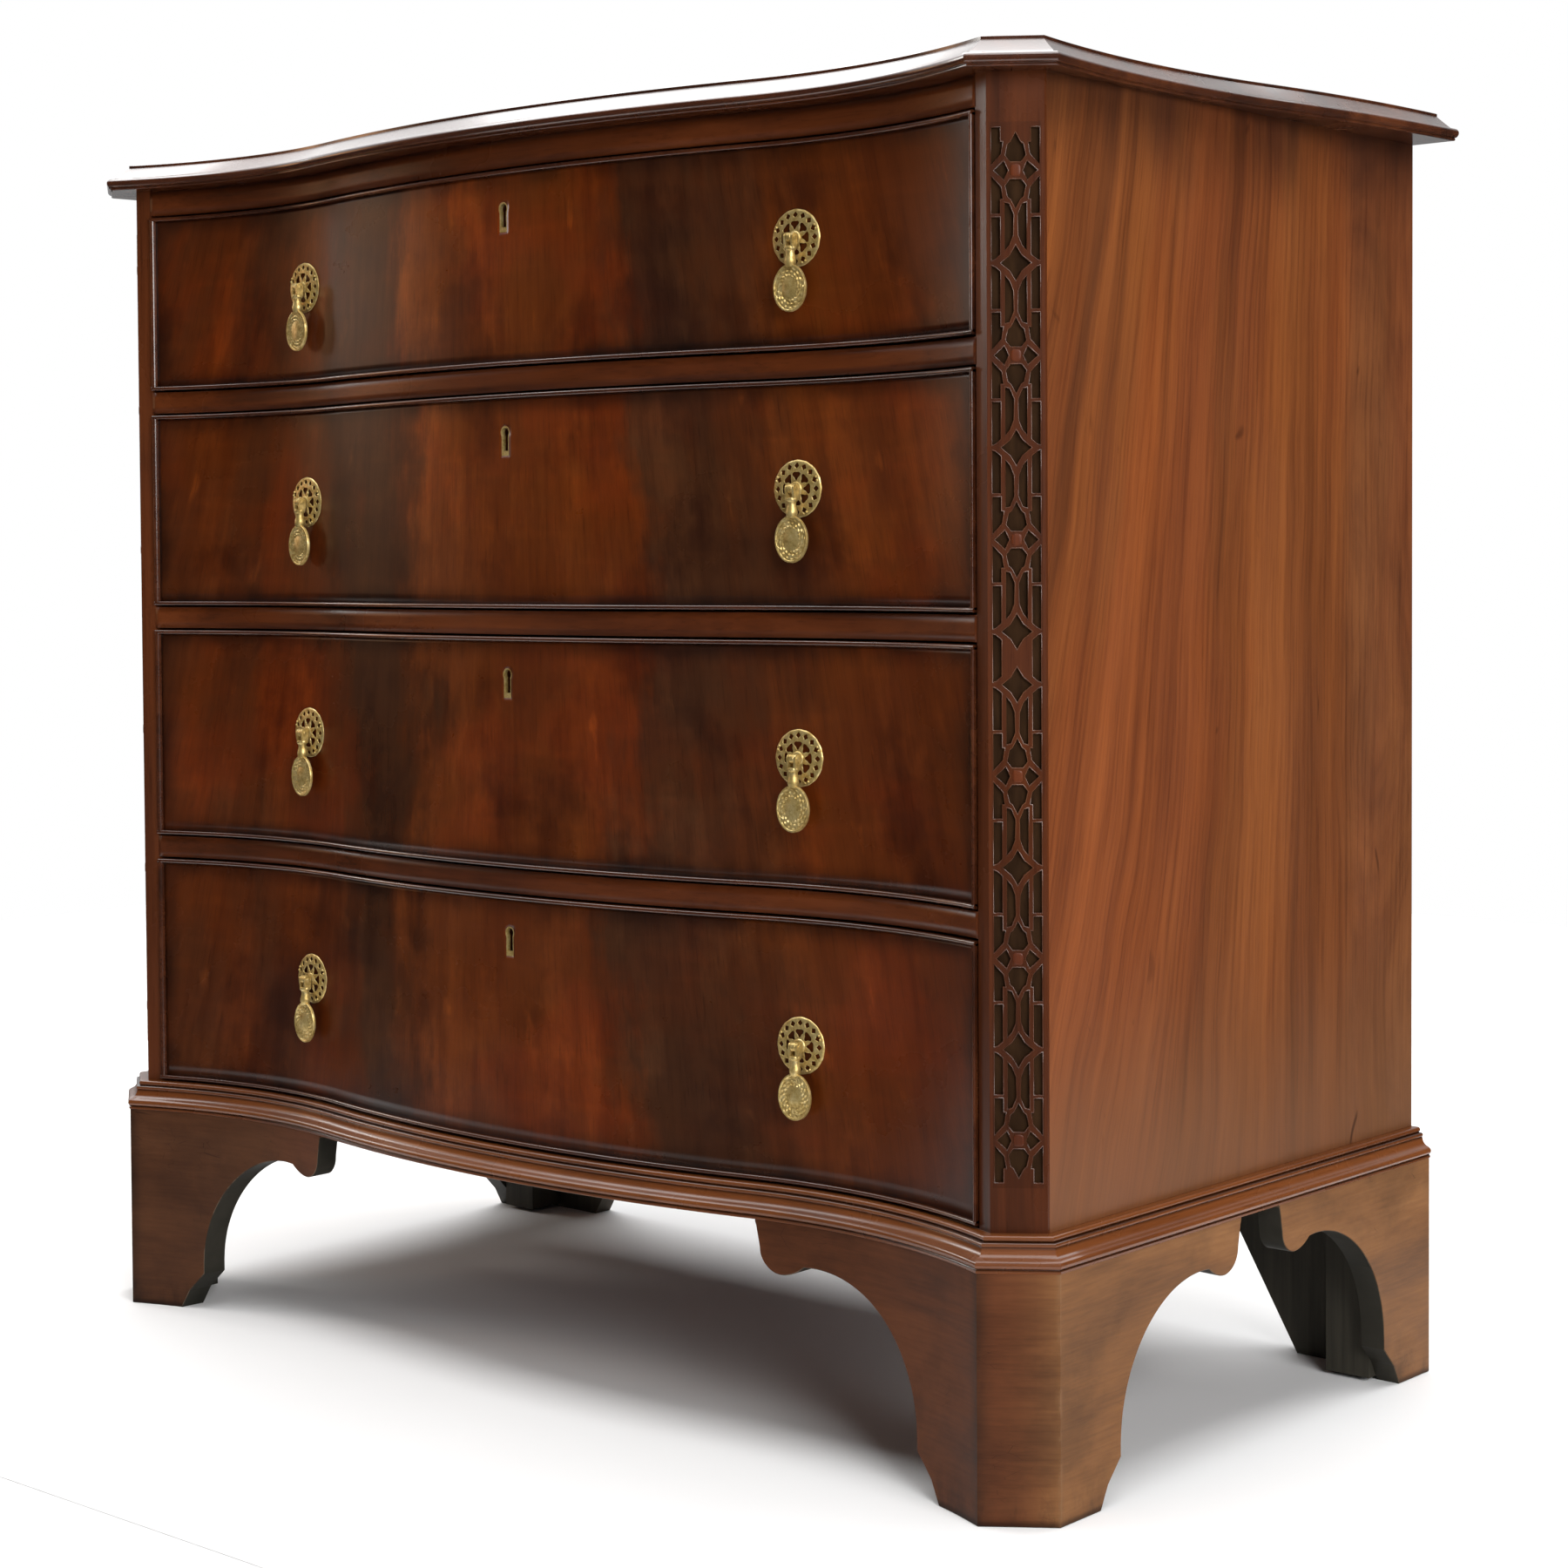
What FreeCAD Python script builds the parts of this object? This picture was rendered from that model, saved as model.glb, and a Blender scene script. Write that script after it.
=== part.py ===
import FreeCAD, Part
import math
import os
from collections import namedtuple
from types import SimpleNamespace

import Sketcher

V = FreeCAD.Vector
doc = FreeCAD.newDocument("serpentine_secretaire_chest")

# Driving dimensions in millimetres. Depths are measured back from the front datum plane.
DIMENSIONS = {
    "front_datum": -216.33,
    "carcass_width": 876.5,
    "carcass_depth": 456.0,
    "carcass_top": 860.0,
    "cant_across": 27.5,
    "cant_deep": 20.5,
    "bow_radius": 1000.0,
    "bow_setback": 1.0,
    "hollow_radius": 351.0,
    "hollow_across": 275.0,
    "foot_height": 151.5,
    "base_height": 21.0,
    "base_reach": 15.5,
    "base_fillet": 2.0,
    "base_fillet_inset": 1.0,
    "base_nose": 8.0,
    "base_cove": 13.5,
    "base_cove_inset": 4.0,
    "base_ledge": 17.2,
    "base_ledge_inset": 6.0,
    "base_bead_inset": 8.0,
    "side_thick": 18.0,
    "stile_width": 11.5,
    "post_depth": 52.0,
    "post_return": 2.0,
    "back_thick": 12.0,
    "back_gap": 0.6,
    "rail_height": 16.2,
    "rail_depth": 76.0,
    "dustboard_thick": 8.0,
    "runner_width": 40.0,
    "guide_height": 25.0,
    "stop_near": 150.0,
    "stop_far": 190.0,
    "stop_length": 20.0,
    "stop_height": 5.0,
    "stop_gap": 1.0,
    "drawer_gap": 1.5,
    "drawer_side_gap": 1.3,
    "height_first": 132.5,
    "height_second": 146.0,
    "height_third": 158.0,
    "height_fourth": 171.5,
    "bead_thick": 3.0,
    "bead_proud": 3.2,
    "bead_depth": 5.0,
    "front_least": 18.0,
    "fall_least": 15.0,
    "lining_thick": 9.0,
    "bottom_thick": 7.0,
    "bottom_raise": 8.0,
    "lining_gap": 0.4,
    "runner_gap": 0.5,
    "lining_drop": 5.0,
    "lining_back_drop": 6.0,
    "drawer_back": 430.0,
    "top_reach": 22.0,
    "top_nose_height": 16.0,
    "top_fillet_height": 4.0,
    "top_fillet_inset": 17.0,
    "top_nose_round": 11.0,
    "top_under_round": 3.5,
    "top_front_half": 458.0,
    "top_waist_half": 447.5,
    "top_waist_deep": 140.0,
    "top_turn_deep": 262.0,
    "top_back_half": 474.0,
    "fret_length": 631.0,
    "fret_centre": 515.0,
    "fret_half": 15.4,
    "fret_thick": 2.4,
    "fret_pitch": 108.5,
    "fret_first": 70.0,
    "foot_board": 18.0,
    "foot_inset": 1.5,
    "foot_toe": 41.0,
    "foot_knee": 48.5,
    "foot_knee_height": 14.0,
    "foot_notch": 62.0,
    "foot_notch_height": 28.0,
    "foot_arch_height": 35.0,
    "foot_arch": 90.0,
    "foot_lobe": 15.5,
    "foot_lobe_at": 178.0,
    "foot_lobe_height": 133.0,
    "foot_length": 197.0,
    "rear_board_top": 150.0,
    "rear_board_toe": 78.0,
    "rear_board_drop": 30.0,
    "glue_block": 34.0,
    "glue_block_raise": 3.0,
    "pull_across": 241.0,
    "pull_raise": 4.0,
    "rose_radius": 18.5,
    "rose_thick": 1.8,
    "rose_stand": 0.6,
    "pin_stand": 7.6,
    "pin_radius": 1.1,
    "pin_clearance": 0.06,
    "drop_length": 47.0,
    "drop_half_width": 12.5,
    "drop_half_height": 15.0,
    "drop_half_thick": 4.6,
    "key_drop": 26.0,
    "key_radius": 4.5,
    "key_wall": 1.0,
    "lock_width": 52.0,
    "lock_height": 38.0,
    "lock_depth": 10.0,
    "bolt_width": 22.0,
    "bolt_depth": 5.0,
    "bolt_inset": 1.5,
    "bolt_length": 18.0,
    "bolt_slack": 0.3,
    "bolt_sink": 0.2,
    "mortise_slack": 0.8,
    "mortise_depth": 8.0,
    "liner_depth": 3.0,
    "liner_proud": 0.2,
    "floor_height": 13.0,
    "floor_thick": 9.0,
    "leather_thick": 1.2,
    "leather_margin": 36.0,
    "hinge_across": 260.0,
    "hinge_width": 46.0,
    "hinge_leaf": 1.8,
    "hinge_reach": 32.0,
    "knuckle_radius": 3.0,
    "knuckle_room": 0.4,
    "knuckle_play": 0.25,
    "hinge_pin": 1.25,
    "hinge_clearance": 0.05,
    "swing_room": 0.8,
    "quadrant_radius": 100.0,
    "quadrant_width": 10.0,
    "quadrant_thick": 2.5,
    "quadrant_end": 8.0,
    "quadrant_gap": 1.2,
    "gallery_front": 250.0,
    "gallery_board": 6.0,
    "gallery_shelf": 44.0,
    "gallery_top": 110.0,
    "gallery_gap": 0.2,
    "bay_half": 75.0,
    "inner_drawer_gap": 0.7,
    "inner_drawer_front": 8.0,
    "inner_drawer_wall": 5.0,
    "inner_drawer_floor": 3.0,
    "knob_radius": 6.0,
}

sheet = doc.addObject("Spreadsheet::Sheet", "sizes")
for row, (alias, number) in enumerate(DIMENSIONS.items(), 1):
    sheet.set(f"A{row}", alias)
    sheet.set(f"B{row}", str(number))
    sheet.setAlias(f"B{row}", alias)
doc.recompute()


class Size:
    """A length together with the sheet formula that gives it."""

    def __init__(self, number, text):
        self.number = number
        self.text = text

    def __add__(self, other):
        other = as_size(other)
        return Size(self.number + other.number, f"({self.text} + {other.text})")

    def __sub__(self, other):
        other = as_size(other)
        return Size(self.number - other.number, f"({self.text} - {other.text})")

    def __mul__(self, other):
        other = as_size(other)
        return Size(self.number * other.number, f"({self.text} * {other.text})")

    def __truediv__(self, other):
        other = as_size(other)
        return Size(self.number / other.number, f"({self.text} / {other.text})")

    def __neg__(self):
        return Size(-self.number, f"(0 - {self.text})")

    def __radd__(self, other):
        return as_size(other) + self

    def __rsub__(self, other):
        return as_size(other) - self

    def __rmul__(self, other):
        return as_size(other) * self


def as_size(value):
    return value if isinstance(value, Size) else Size(float(value), repr(float(value)))


def root(value):
    return Size(math.sqrt(value.number), f"sqrt({value.text})")


at = SimpleNamespace(**{name: Size(float(sheet.get(name)), f"sizes.{name}") for name in DIMENSIONS})

# Places worked out from the driving dimensions.
HALF = at.carcass_width / 2
BACK = at.front_datum + at.carcass_depth
BASE_TOP = at.foot_height + at.base_height
CORNER_X = HALF - at.cant_across
OPENING = CORNER_X - at.stile_width
DRAWER_HALF = OPENING - at.drawer_side_gap
BOW_CENTRE = at.front_datum + at.bow_setback + at.bow_radius
RADII = at.bow_radius + at.hollow_radius
HOLLOW_CENTRE = BOW_CENTRE - root(RADII * RADII - at.hollow_across * at.hollow_across)
DEEPEST = HOLLOW_CENTRE + at.hollow_radius
INNER_BACK = BACK - at.back_thick
FRONT_INSIDE = DEEPEST + at.front_least
FALL_INSIDE = DEEPEST + at.fall_least
DRAWER_BACK = at.front_datum + at.drawer_back

# How far a cutter runs on past the face that it opens, and how close two places count as one.
PAST = 1.0
PAST_FOOT = 60.0
NEAR = 0.01

Edge = namedtuple("Edge", "start end radius left", defaults=(None, True))
Drawer = namedtuple("Drawer", "name low high inside")


def bind(thing, path, value):
    thing.setExpression(path, as_size(value).text)


def hollow_y(across, reach):
    """Depth of the front at a distance from the middle, out in the hollow."""
    radius = at.hollow_radius - reach
    offset = across - at.hollow_across
    return HOLLOW_CENTRE + root(radius * radius - offset * offset)


def front_edges(reach, end_x, end_y):
    """The serpentine front from left to right: hollow, bow, hollow, moved forward by reach."""
    share = (at.bow_radius + reach) / RADII
    turn_x = at.hollow_across * share
    turn_y = BOW_CENTRE - (BOW_CENTRE - HOLLOW_CENTRE) * share
    hollow = at.hollow_radius - reach
    return [
        Edge((-end_x, end_y), (-turn_x, turn_y), hollow, False),
        Edge((-turn_x, turn_y), (turn_x, turn_y), at.bow_radius + reach, True),
        Edge((turn_x, turn_y), (end_x, end_y), hollow, False),
    ]


def back_along(edges):
    return [Edge(edge.end, edge.start, edge.radius, not edge.left) for edge in reversed(edges)]


def chain(points):
    return [Edge(start, end) for start, end in zip(points, points[1:])]


def mirrored(points):
    return [(-across, deep) for across, deep in reversed(points)]


def cant_points(reach):
    """The two ends of the canted corner, moved outwards by reach."""
    span = root(at.cant_across * at.cant_across + at.cant_deep * at.cant_deep)
    along_x = at.cant_across / span
    along_y = at.cant_deep / span
    from_x = CORNER_X + along_y * reach
    from_y = hollow_y(CORNER_X, as_size(0)) - along_x * reach
    out_x = from_x - at.hollow_across
    out_y = from_y - HOLLOW_CENTRE
    ahead = out_x * along_x + out_y * along_y
    radius = at.hollow_radius - reach
    step = root(ahead * ahead - out_x * out_x - out_y * out_y + radius * radius) - ahead
    side_step = (HALF + reach - from_x) / along_x
    return [
        (from_x + along_x * step, from_y + along_y * step),
        (HALF + reach, from_y + along_y * side_step),
    ]


def carcass_edges(reach):
    """Front, canted corners and sides, from the left back corner round to the right."""
    corner, shoulder = cant_points(reach)
    right = [corner, shoulder, (HALF + reach, BACK)]
    return chain(mirrored(right)) + front_edges(reach, *corner) + chain(right)


def close_up(edges):
    return edges + [Edge(edges[-1].end, edges[0].start)]


def sketch_point(point):
    return V(as_size(point[0]).number, as_size(point[1]).number, 0)


def edge_curve(edge):
    """A sketch curve for an edge, and which of its ends the edge starts from."""
    start, end = sketch_point(edge.start), sketch_point(edge.end)
    if edge.radius is None:
        return Part.LineSegment(start, end), 1
    radius = as_size(edge.radius).number
    chord = end - start
    rise = math.sqrt(max(radius ** 2 - (chord.Length / 2) ** 2, 0.0))
    normal = V(-chord.y, chord.x, 0).normalize()
    centre = (start + end) * 0.5 + normal * (rise if edge.left else -rise)
    first, last = (start, end) if edge.left else (end, start)
    angles = [math.atan2(point.y - centre.y, point.x - centre.x) for point in (first, last)]
    circle = Part.Circle(centre, V(0, 0, 1), radius)
    return Part.ArcOfCircle(circle, *angles), 1 if edge.left else 2


def draw_outline(body, name, plane, edges, offset):
    """A closed, fully bound sketch on one of the body's own origin planes."""
    sketch = body.newObject("Sketcher::SketchObject", name)
    support = next(item for item in body.Origin.OriginFeatures if item.Role == plane)
    sketch.AttachmentSupport = (support, [""])
    sketch.MapMode = "FlatFace"
    bind(sketch, "AttachmentOffset.Base.z", offset)
    curves = [edge_curve(edge) for edge in edges]
    sketch.addGeometry([curve for curve, _ in curves], False)
    for index, edge in enumerate(edges):
        first = curves[index][1]
        following = (index + 1) % len(edges)
        sketch.addConstraint(
            Sketcher.Constraint("Coincident", index, 3 - first, following, curves[following][1]))
        for kind, value in (("DistanceX", edge.start[0]), ("DistanceY", edge.start[1])):
            value = as_size(value)
            number = sketch.addConstraint(Sketcher.Constraint(kind, -1, 1, index, first, value.number))
            bind(sketch, f"Constraints[{number}]", value)
        if edge.radius is not None:
            radius = as_size(edge.radius)
            number = sketch.addConstraint(Sketcher.Constraint("Radius", index, radius.number))
            bind(sketch, f"Constraints[{number}]", radius)
    return sketch


def add_pad(body, name, plane, edges, offset, length):
    pad = body.newObject("PartDesign::Pad", name)
    pad.Profile = draw_outline(body, f"{name}_outline", plane, edges, offset)
    bind(pad, "Length", length)
    return pad


def board(name, edges, low, high, plane="XY_Plane"):
    """A board of the given plan between two heights, or between two places on the plane's axis."""
    body = doc.addObject("PartDesign::Body", name)
    add_pad(body, f"{name}_pad", plane, edges, low, high - low)
    return body


def box(name, across, deep, tall):
    """A straight board between two places on each axis."""
    block = doc.addObject("Part::Box", name)
    for size, axis, (low, high) in zip(("Length", "Width", "Height"), "xyz", (across, deep, tall)):
        bind(block, size, as_size(high) - low)
        bind(block, f"Placement.Base.{axis}", low)
    return block


def both_sides(name, across, deep, tall):
    """The same board on the right and on the left."""
    low, high = across
    return [
        box(f"{name}_right", (low, high), deep, tall),
        box(f"{name}_left", (-as_size(high), -as_size(low)), deep, tall),
    ]


def rod(name, radius, length, axis=V(0, 0, 1), base=V(0, 0, 0)):
    """A round bar that starts at base and runs along axis."""
    bar = doc.addObject("Part::Cylinder", name)
    bind(bar, "Radius", radius)
    bind(bar, "Height", length)
    bar.Placement = FreeCAD.Placement(base, FreeCAD.Rotation(V(0, 0, 1), axis))
    return bar


def compound(name, pieces):
    group = doc.addObject("Part::Compound", name)
    group.Links = pieces
    return group


def fuse(name, pieces):
    joined = doc.addObject("Part::MultiFuse", name)
    joined.Shapes = pieces
    return joined


def cut(name, base, tools):
    """A piece with the tools taken out of it."""
    taken = doc.addObject("Part::Cut", name)
    taken.Base = base
    taken.Tool = tools[0] if len(tools) == 1 else fuse(f"{name}_tools", tools)
    return taken


def mirror(name, source):
    other = doc.addObject("Part::Mirroring", name)
    other.Source = source
    other.Normal = V(1, 0, 0)
    return other


def placed(name, source, base, turn=0.0):
    """A copy of a small fitting, turned about the vertical and set at its place."""
    copy = doc.addObject("Part::Compound", name)
    copy.Links = [source]
    for axis, value in zip("xyz", base):
        bind(copy, f"Placement.Base.{axis}", value)
    copy.Placement.Rotation = FreeCAD.Rotation(V(0, 0, 1), 1)
    bind(copy, "Placement.Rotation.Angle", turn)
    return copy


nodes = []


def node(name, piece):
    piece.Label = name
    nodes.append(piece)
    return piece


def stack_drawers():
    """Drawer places from the lowest up, each with its gap and the rail over it."""
    names = ("fourth", "third", "second", "secretaire")
    heights = (at.height_fourth, at.height_third, at.height_second, at.height_first)
    level = BASE_TOP
    drawers, rails = {}, []
    for name, height in zip(names, heights):
        low = level + at.drawer_gap
        high = low + height
        inside = FALL_INSIDE if name == "secretaire" else FRONT_INSIDE
        drawers[name] = Drawer(name, low, high, inside)
        rail_low = high + at.drawer_gap
        level = rail_low + at.rail_height if name != "secretaire" else at.carcass_top
        rails.append((rail_low, level))
    return drawers, rails


DRAWERS, RAILS = stack_drawers()


def front_block(name, reach, inside, half, low, high):
    """A block with the serpentine front and a straight inner face."""
    end_y = hollow_y(half, reach)
    edges = front_edges(reach, half, end_y) + chain([(half, end_y), (half, inside), (-half, inside)])
    return board(name, close_up(edges), low, high)


def front_strip(name, reach, behind, half, low, high):
    """A thin strip that follows the serpentine front."""
    ahead = front_edges(reach, half, hollow_y(half, reach))
    rear = back_along(front_edges(behind, half, hollow_y(half, behind)))
    edges = ahead + [Edge(ahead[-1].end, rear[0].start)] + rear
    return board(name, close_up(edges), low, high)


def make_carcass():
    zero = as_size(0)
    node("bottom_board", board("bottom_board", close_up(carcass_edges(zero)), at.foot_height, BASE_TOP))
    tall = (BASE_TOP, at.carcass_top)
    corner, shoulder = cant_points(zero)
    inner = HALF - at.side_thick
    side_front = shoulder[1] + at.post_return
    right_side = box("right_side", (inner, HALF), (side_front, BACK), tall)
    node("right_side", right_side)
    node("left_side", mirror("left_side", right_side))

    post_back = at.front_datum + at.post_depth
    start = (OPENING, hollow_y(OPENING, zero))
    plan = [Edge(start, corner, at.hollow_radius, False)]
    plan += chain([corner, shoulder, (HALF, side_front), (inner, side_front), (inner, post_back)])
    plan += chain([(inner, post_back), (OPENING, post_back)])
    post = board("post_block", close_up(plan), *tall)
    right_post = cut("right_corner_post", post, [fret_plate("fret_recess", False)])
    node("right_corner_post", right_post)
    node("left_corner_post", mirror("left_corner_post", right_post))
    right_fret = fret_plate("right_blind_fret", True)
    node("right_blind_fret", right_fret)
    node("left_blind_fret", mirror("left_blind_fret", right_fret))

    rail_back = at.front_datum + at.rail_depth
    rail_blocks = []
    for index, (low, high) in enumerate(RAILS):
        block = front_block(f"rail_block_{index}", zero, rail_back, OPENING, low, high)
        rail_blocks.append(cut(f"rail_{index}", block, [bolt_mortise(index)]))
    node("top_rail", rail_blocks[-1])
    node("drawer_rails", compound("drawer_rails", rail_blocks[:-1]))

    runner_in = OPENING + at.side_thick - at.runner_width
    dustboards, runners = [], []
    for index, (low, high) in enumerate(RAILS):
        deep = (rail_back, INNER_BACK)
        runners += both_sides(f"runner_{index}", (runner_in, inner), deep, (low, high))
        if (low, high) != RAILS[-1]:
            middle = (low + high) / 2 - at.dustboard_thick / 2
            level = (middle, middle + at.dustboard_thick)
            dustboards.append(box(f"dustboard_{index}", (-runner_in, runner_in), deep, level))
    for drawer in DRAWERS.values():
        floor_level = drawer.low - at.drawer_gap
        guide = (floor_level, floor_level + at.guide_height)
        deep = (post_back, INNER_BACK)
        runners += both_sides(f"guide_{drawer.name}", (OPENING, inner), deep, guide)
        stop_front = drawer.inside + at.stop_gap
        stop_deep = (stop_front, stop_front + at.stop_length)
        stop_tall = (floor_level, floor_level + at.stop_height)
        runners += both_sides(f"stop_{drawer.name}", (at.stop_near, at.stop_far), stop_deep, stop_tall)
    node("dustboards", compound("dustboards", dustboards))
    node("drawer_runners", compound("drawer_runners", runners))

    board_count = 4
    width = (inner * 2 - at.back_gap * (board_count - 1)) / board_count
    backs = []
    for index in range(board_count):
        left = (width + at.back_gap) * index - inner
        backs.append(box(f"back_board_{index}", (left, left + width), (INNER_BACK, BACK), tall))
    node("back_boards", compound("back_boards", backs))


def bolt_mortise(index):
    """The slot in a rail that a lock's bolt rises into."""
    drawer = list(DRAWERS.values())[index]
    low = RAILS[index][0]
    slack = at.mortise_slack
    half = at.bolt_width / 2 + slack
    near = drawer.inside - at.lock_depth + at.bolt_inset
    deep = (near - slack, near + at.bolt_depth + slack)
    return box(f"bolt_mortise_{index}", (-half, half), deep, (low - PAST, low + at.mortise_depth))


def fret_windows():
    """Window outlines of the blind fret, as (across, along) points from its middle."""
    border = 1.2
    edge = at.fret_half.number - border
    reach = at.fret_pitch.number / 2
    side_diamond = [(4.4, 0), (6.9, 5.4), (12.8, 0), (6.9, -5.4)]
    lancet = [(-3.2, 5.2), (3.2, 5.2), (6.0, 8.8), (4.6, 15.4), (2.8, 16.8), (0, 22.2),
              (-2.8, 16.8), (-4.6, 15.4), (-6.0, 8.8)]
    upper_channel = [(edge, 3.4), (edge, 25.2), (9.2, 25.2), (9.2, 16.6), (7.6, 16.6), (8.7, 9.6)]
    lower_channel = [(9.2, 27.4), (edge, 27.4), (edge, reach - 1.6), (12.4, reach - 2.3), (9.2, reach - 5.0)]
    inner_channel = [(1.3, 25.8), (3.8, 19.6), (6.4, 18.9), (6.4, reach - 7.4), (3.8, reach - 10.6),
                     (1.6, reach - 16.4)]
    diamond_half = [(0, -10.3), (3.5, -4.4), (8.9, 0), (3.5, 4.4), (0, 10.3), (-3.5, 4.4), (-8.9, 0),
                    (-3.5, -4.4)]
    middle = at.fret_first.number - reach - 1.6
    centre_channel = [(edge, middle), (12.4, middle - 0.7), (9.2, middle - 3.4), (9.2, 3.4 - middle),
                      (12.4, 0.7 - middle), (edge, -middle)]
    windows = []

    def add(points, offset, flip_across=False, flip_along=False):
        sign_x = -1 if flip_across else 1
        sign_z = -1 if flip_along else 1
        windows.append([(sign_x * x, offset + sign_z * z) for x, z in points])

    rosettes = [at.fret_first.number + at.fret_pitch.number * step for step in range(3)]
    for side in (False, True):
        add(centre_channel, 0, side)
        for place in rosettes + [-place for place in rosettes]:
            add(side_diamond, place, side)
            for upward in (False, True):
                add(upper_channel, place, side, upward)
                outer_end = abs(place) == rosettes[-1] and (place < 0) == upward
                if not outer_end:
                    add(lower_channel, place, side, upward)
                    add(inner_channel, place, side, upward)
    for place in rosettes + [-place for place in rosettes]:
        add(lancet, place)
        add(lancet, place, False, True)
        add(diamond_half, place - math.copysign(reach, place))
    return windows


def fret_plate(name, pierced):
    """The thin facing let into the canted corner, plain or pierced with the fret."""
    corner, shoulder = cant_points(as_size(0))
    corner, shoulder = sketch_point(corner), sketch_point(shoulder)
    along = (shoulder - corner).normalize()
    outward = V(along.y, -along.x, 0)
    middle = (corner + shoulder) * 0.5 + V(0, 0, at.fret_centre.number)
    half, tall = at.fret_half.number, at.fret_length.number / 2
    frame = [(-half, -tall), (half, -tall), (half, tall), (-half, tall)]

    def wire(points):
        places = [middle + along * x + V(0, 0, z) for x, z in points]
        return Part.makePolygon(places + places[:1])

    face = Part.Face(wire(frame))
    if pierced:
        face = face.cut(Part.makeCompound([Part.Face(wire(points)) for points in fret_windows()]))
    plate = doc.addObject("Part::Feature", name)
    plate.Shape = face.Faces[0].extrude(outward * -at.fret_thick.number)
    return plate


def make_base():
    """The moulding round the foot of the carcass, from its fillet up to its bead, and the bracket feet."""
    body = doc.addObject("PartDesign::Body", "base_moulding")
    inner = back_along(carcass_edges(as_size(0)))
    steps = (
        (0, at.base_fillet, at.base_fillet_inset),
        (at.base_fillet, at.base_nose, 0),
        (at.base_nose, at.base_cove, at.base_cove_inset),
        (at.base_cove, at.base_ledge, at.base_ledge_inset),
        (at.base_ledge, at.base_height, at.base_bead_inset),
    )
    for index, (low, high, inset) in enumerate(steps):
        outer = carcass_edges(at.base_reach - inset)
        ring = outer + [Edge(outer[-1].end, inner[0].start)] + inner
        add_pad(body, f"moulding_step_{index}", "XY_Plane", close_up(ring), at.foot_height + low, high - low)
    node("base_moulding", body)

    front_foot = make_front_foot()
    node("right_front_foot", front_foot)
    node("left_front_foot", mirror("left_front_foot", front_foot))
    rear_foot = make_rear_foot()
    node("right_rear_foot", rear_foot)
    node("left_rear_foot", mirror("left_rear_foot", rear_foot))


def bracket_gap(origin, sign):
    """The shaped opening under a bracket: toe, notch, arch and lobe, from the foot's corner inwards."""

    def place(along, height):
        return (origin + along * sign, as_size(height))

    notch = place(at.foot_notch, at.foot_notch_height)
    arch_start = place(at.foot_notch, at.foot_arch_height)
    arch_centre = at.foot_notch + at.foot_arch
    arch_top = at.foot_arch_height + at.foot_arch
    arch_run, arch_fall, lobe_ease = 8, 0.5, 4
    arch_end = place(arch_centre + arch_run, arch_top - arch_fall)
    lobe_low = place(at.foot_lobe_at, at.foot_lobe_height - at.foot_lobe)
    lobe_end = place(at.foot_lobe_at + at.foot_lobe, at.foot_lobe_height)
    tip = place(at.foot_length, at.foot_height + PAST)
    clear = place(at.foot_length + PAST_FOOT, at.foot_height + PAST)
    under = place(at.foot_length + PAST_FOOT, -PAST)
    toe_under = place(at.foot_toe, -PAST)
    knee = place(at.foot_knee, at.foot_knee_height)
    rightward = sign > 0
    return close_up([
        Edge(toe_under, place(at.foot_toe, 0)),
        Edge(place(at.foot_toe, 0), knee),
        Edge(knee, notch),
        Edge(notch, arch_start),
        Edge(arch_start, place(arch_centre, arch_top), at.foot_arch, not rightward),
        Edge(place(arch_centre, arch_top), arch_end),
        Edge(arch_end, lobe_low, at.foot_lobe + lobe_ease, rightward),
        Edge(lobe_low, lobe_end, at.foot_lobe, rightward),
        Edge(lobe_end, tip),
        Edge(tip, clear),
        Edge(clear, under),
    ])


def make_front_foot():
    reach = at.base_reach - at.foot_inset
    behind = reach - at.foot_board
    corner, shoulder = cant_points(reach)
    inner_corner, inner_shoulder = cant_points(behind)
    front_end = corner[0] - at.foot_length
    side_end = shoulder[1] + at.foot_length
    turn = front_edges(reach, *corner)[2].start
    inner_turn = front_edges(behind, *inner_corner)[2].start
    plan = [Edge(turn, corner, at.hollow_radius - reach, False)]
    plan += chain([corner, shoulder, (shoulder[0], side_end), (inner_shoulder[0], side_end)])
    plan += chain([(inner_shoulder[0], side_end), inner_shoulder, inner_corner])
    plan += [Edge(inner_corner, inner_turn, at.hollow_radius - behind, True)]
    boards = board("front_foot_boards", close_up(plan), as_size(0), at.foot_height)
    ahead, behind_all = at.front_datum - PAST_FOOT, DEEPEST + at.foot_board * 2
    front_gap = board("front_gap", bracket_gap(corner[0], -1), -behind_all, -ahead, "XZ_Plane")
    beside = (HALF - at.foot_board, HALF + PAST_FOOT)
    side_gap = board("side_gap", bracket_gap(shoulder[1], 1), *beside, "YZ_Plane")
    trim = box("front_foot_trim", (front_end - at.foot_arch, front_end), (ahead, behind_all),
               (-PAST, at.foot_height + PAST))
    shaped = cut("front_foot_shaped", boards, [front_gap, side_gap, trim])
    block_x, block_y = inner_shoulder
    block = box("front_foot_block", (block_x - at.glue_block, block_x), (block_y, block_y + at.glue_block),
                (at.glue_block_raise, at.foot_height))
    return compound("right_front_foot", [shaped, block])


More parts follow.
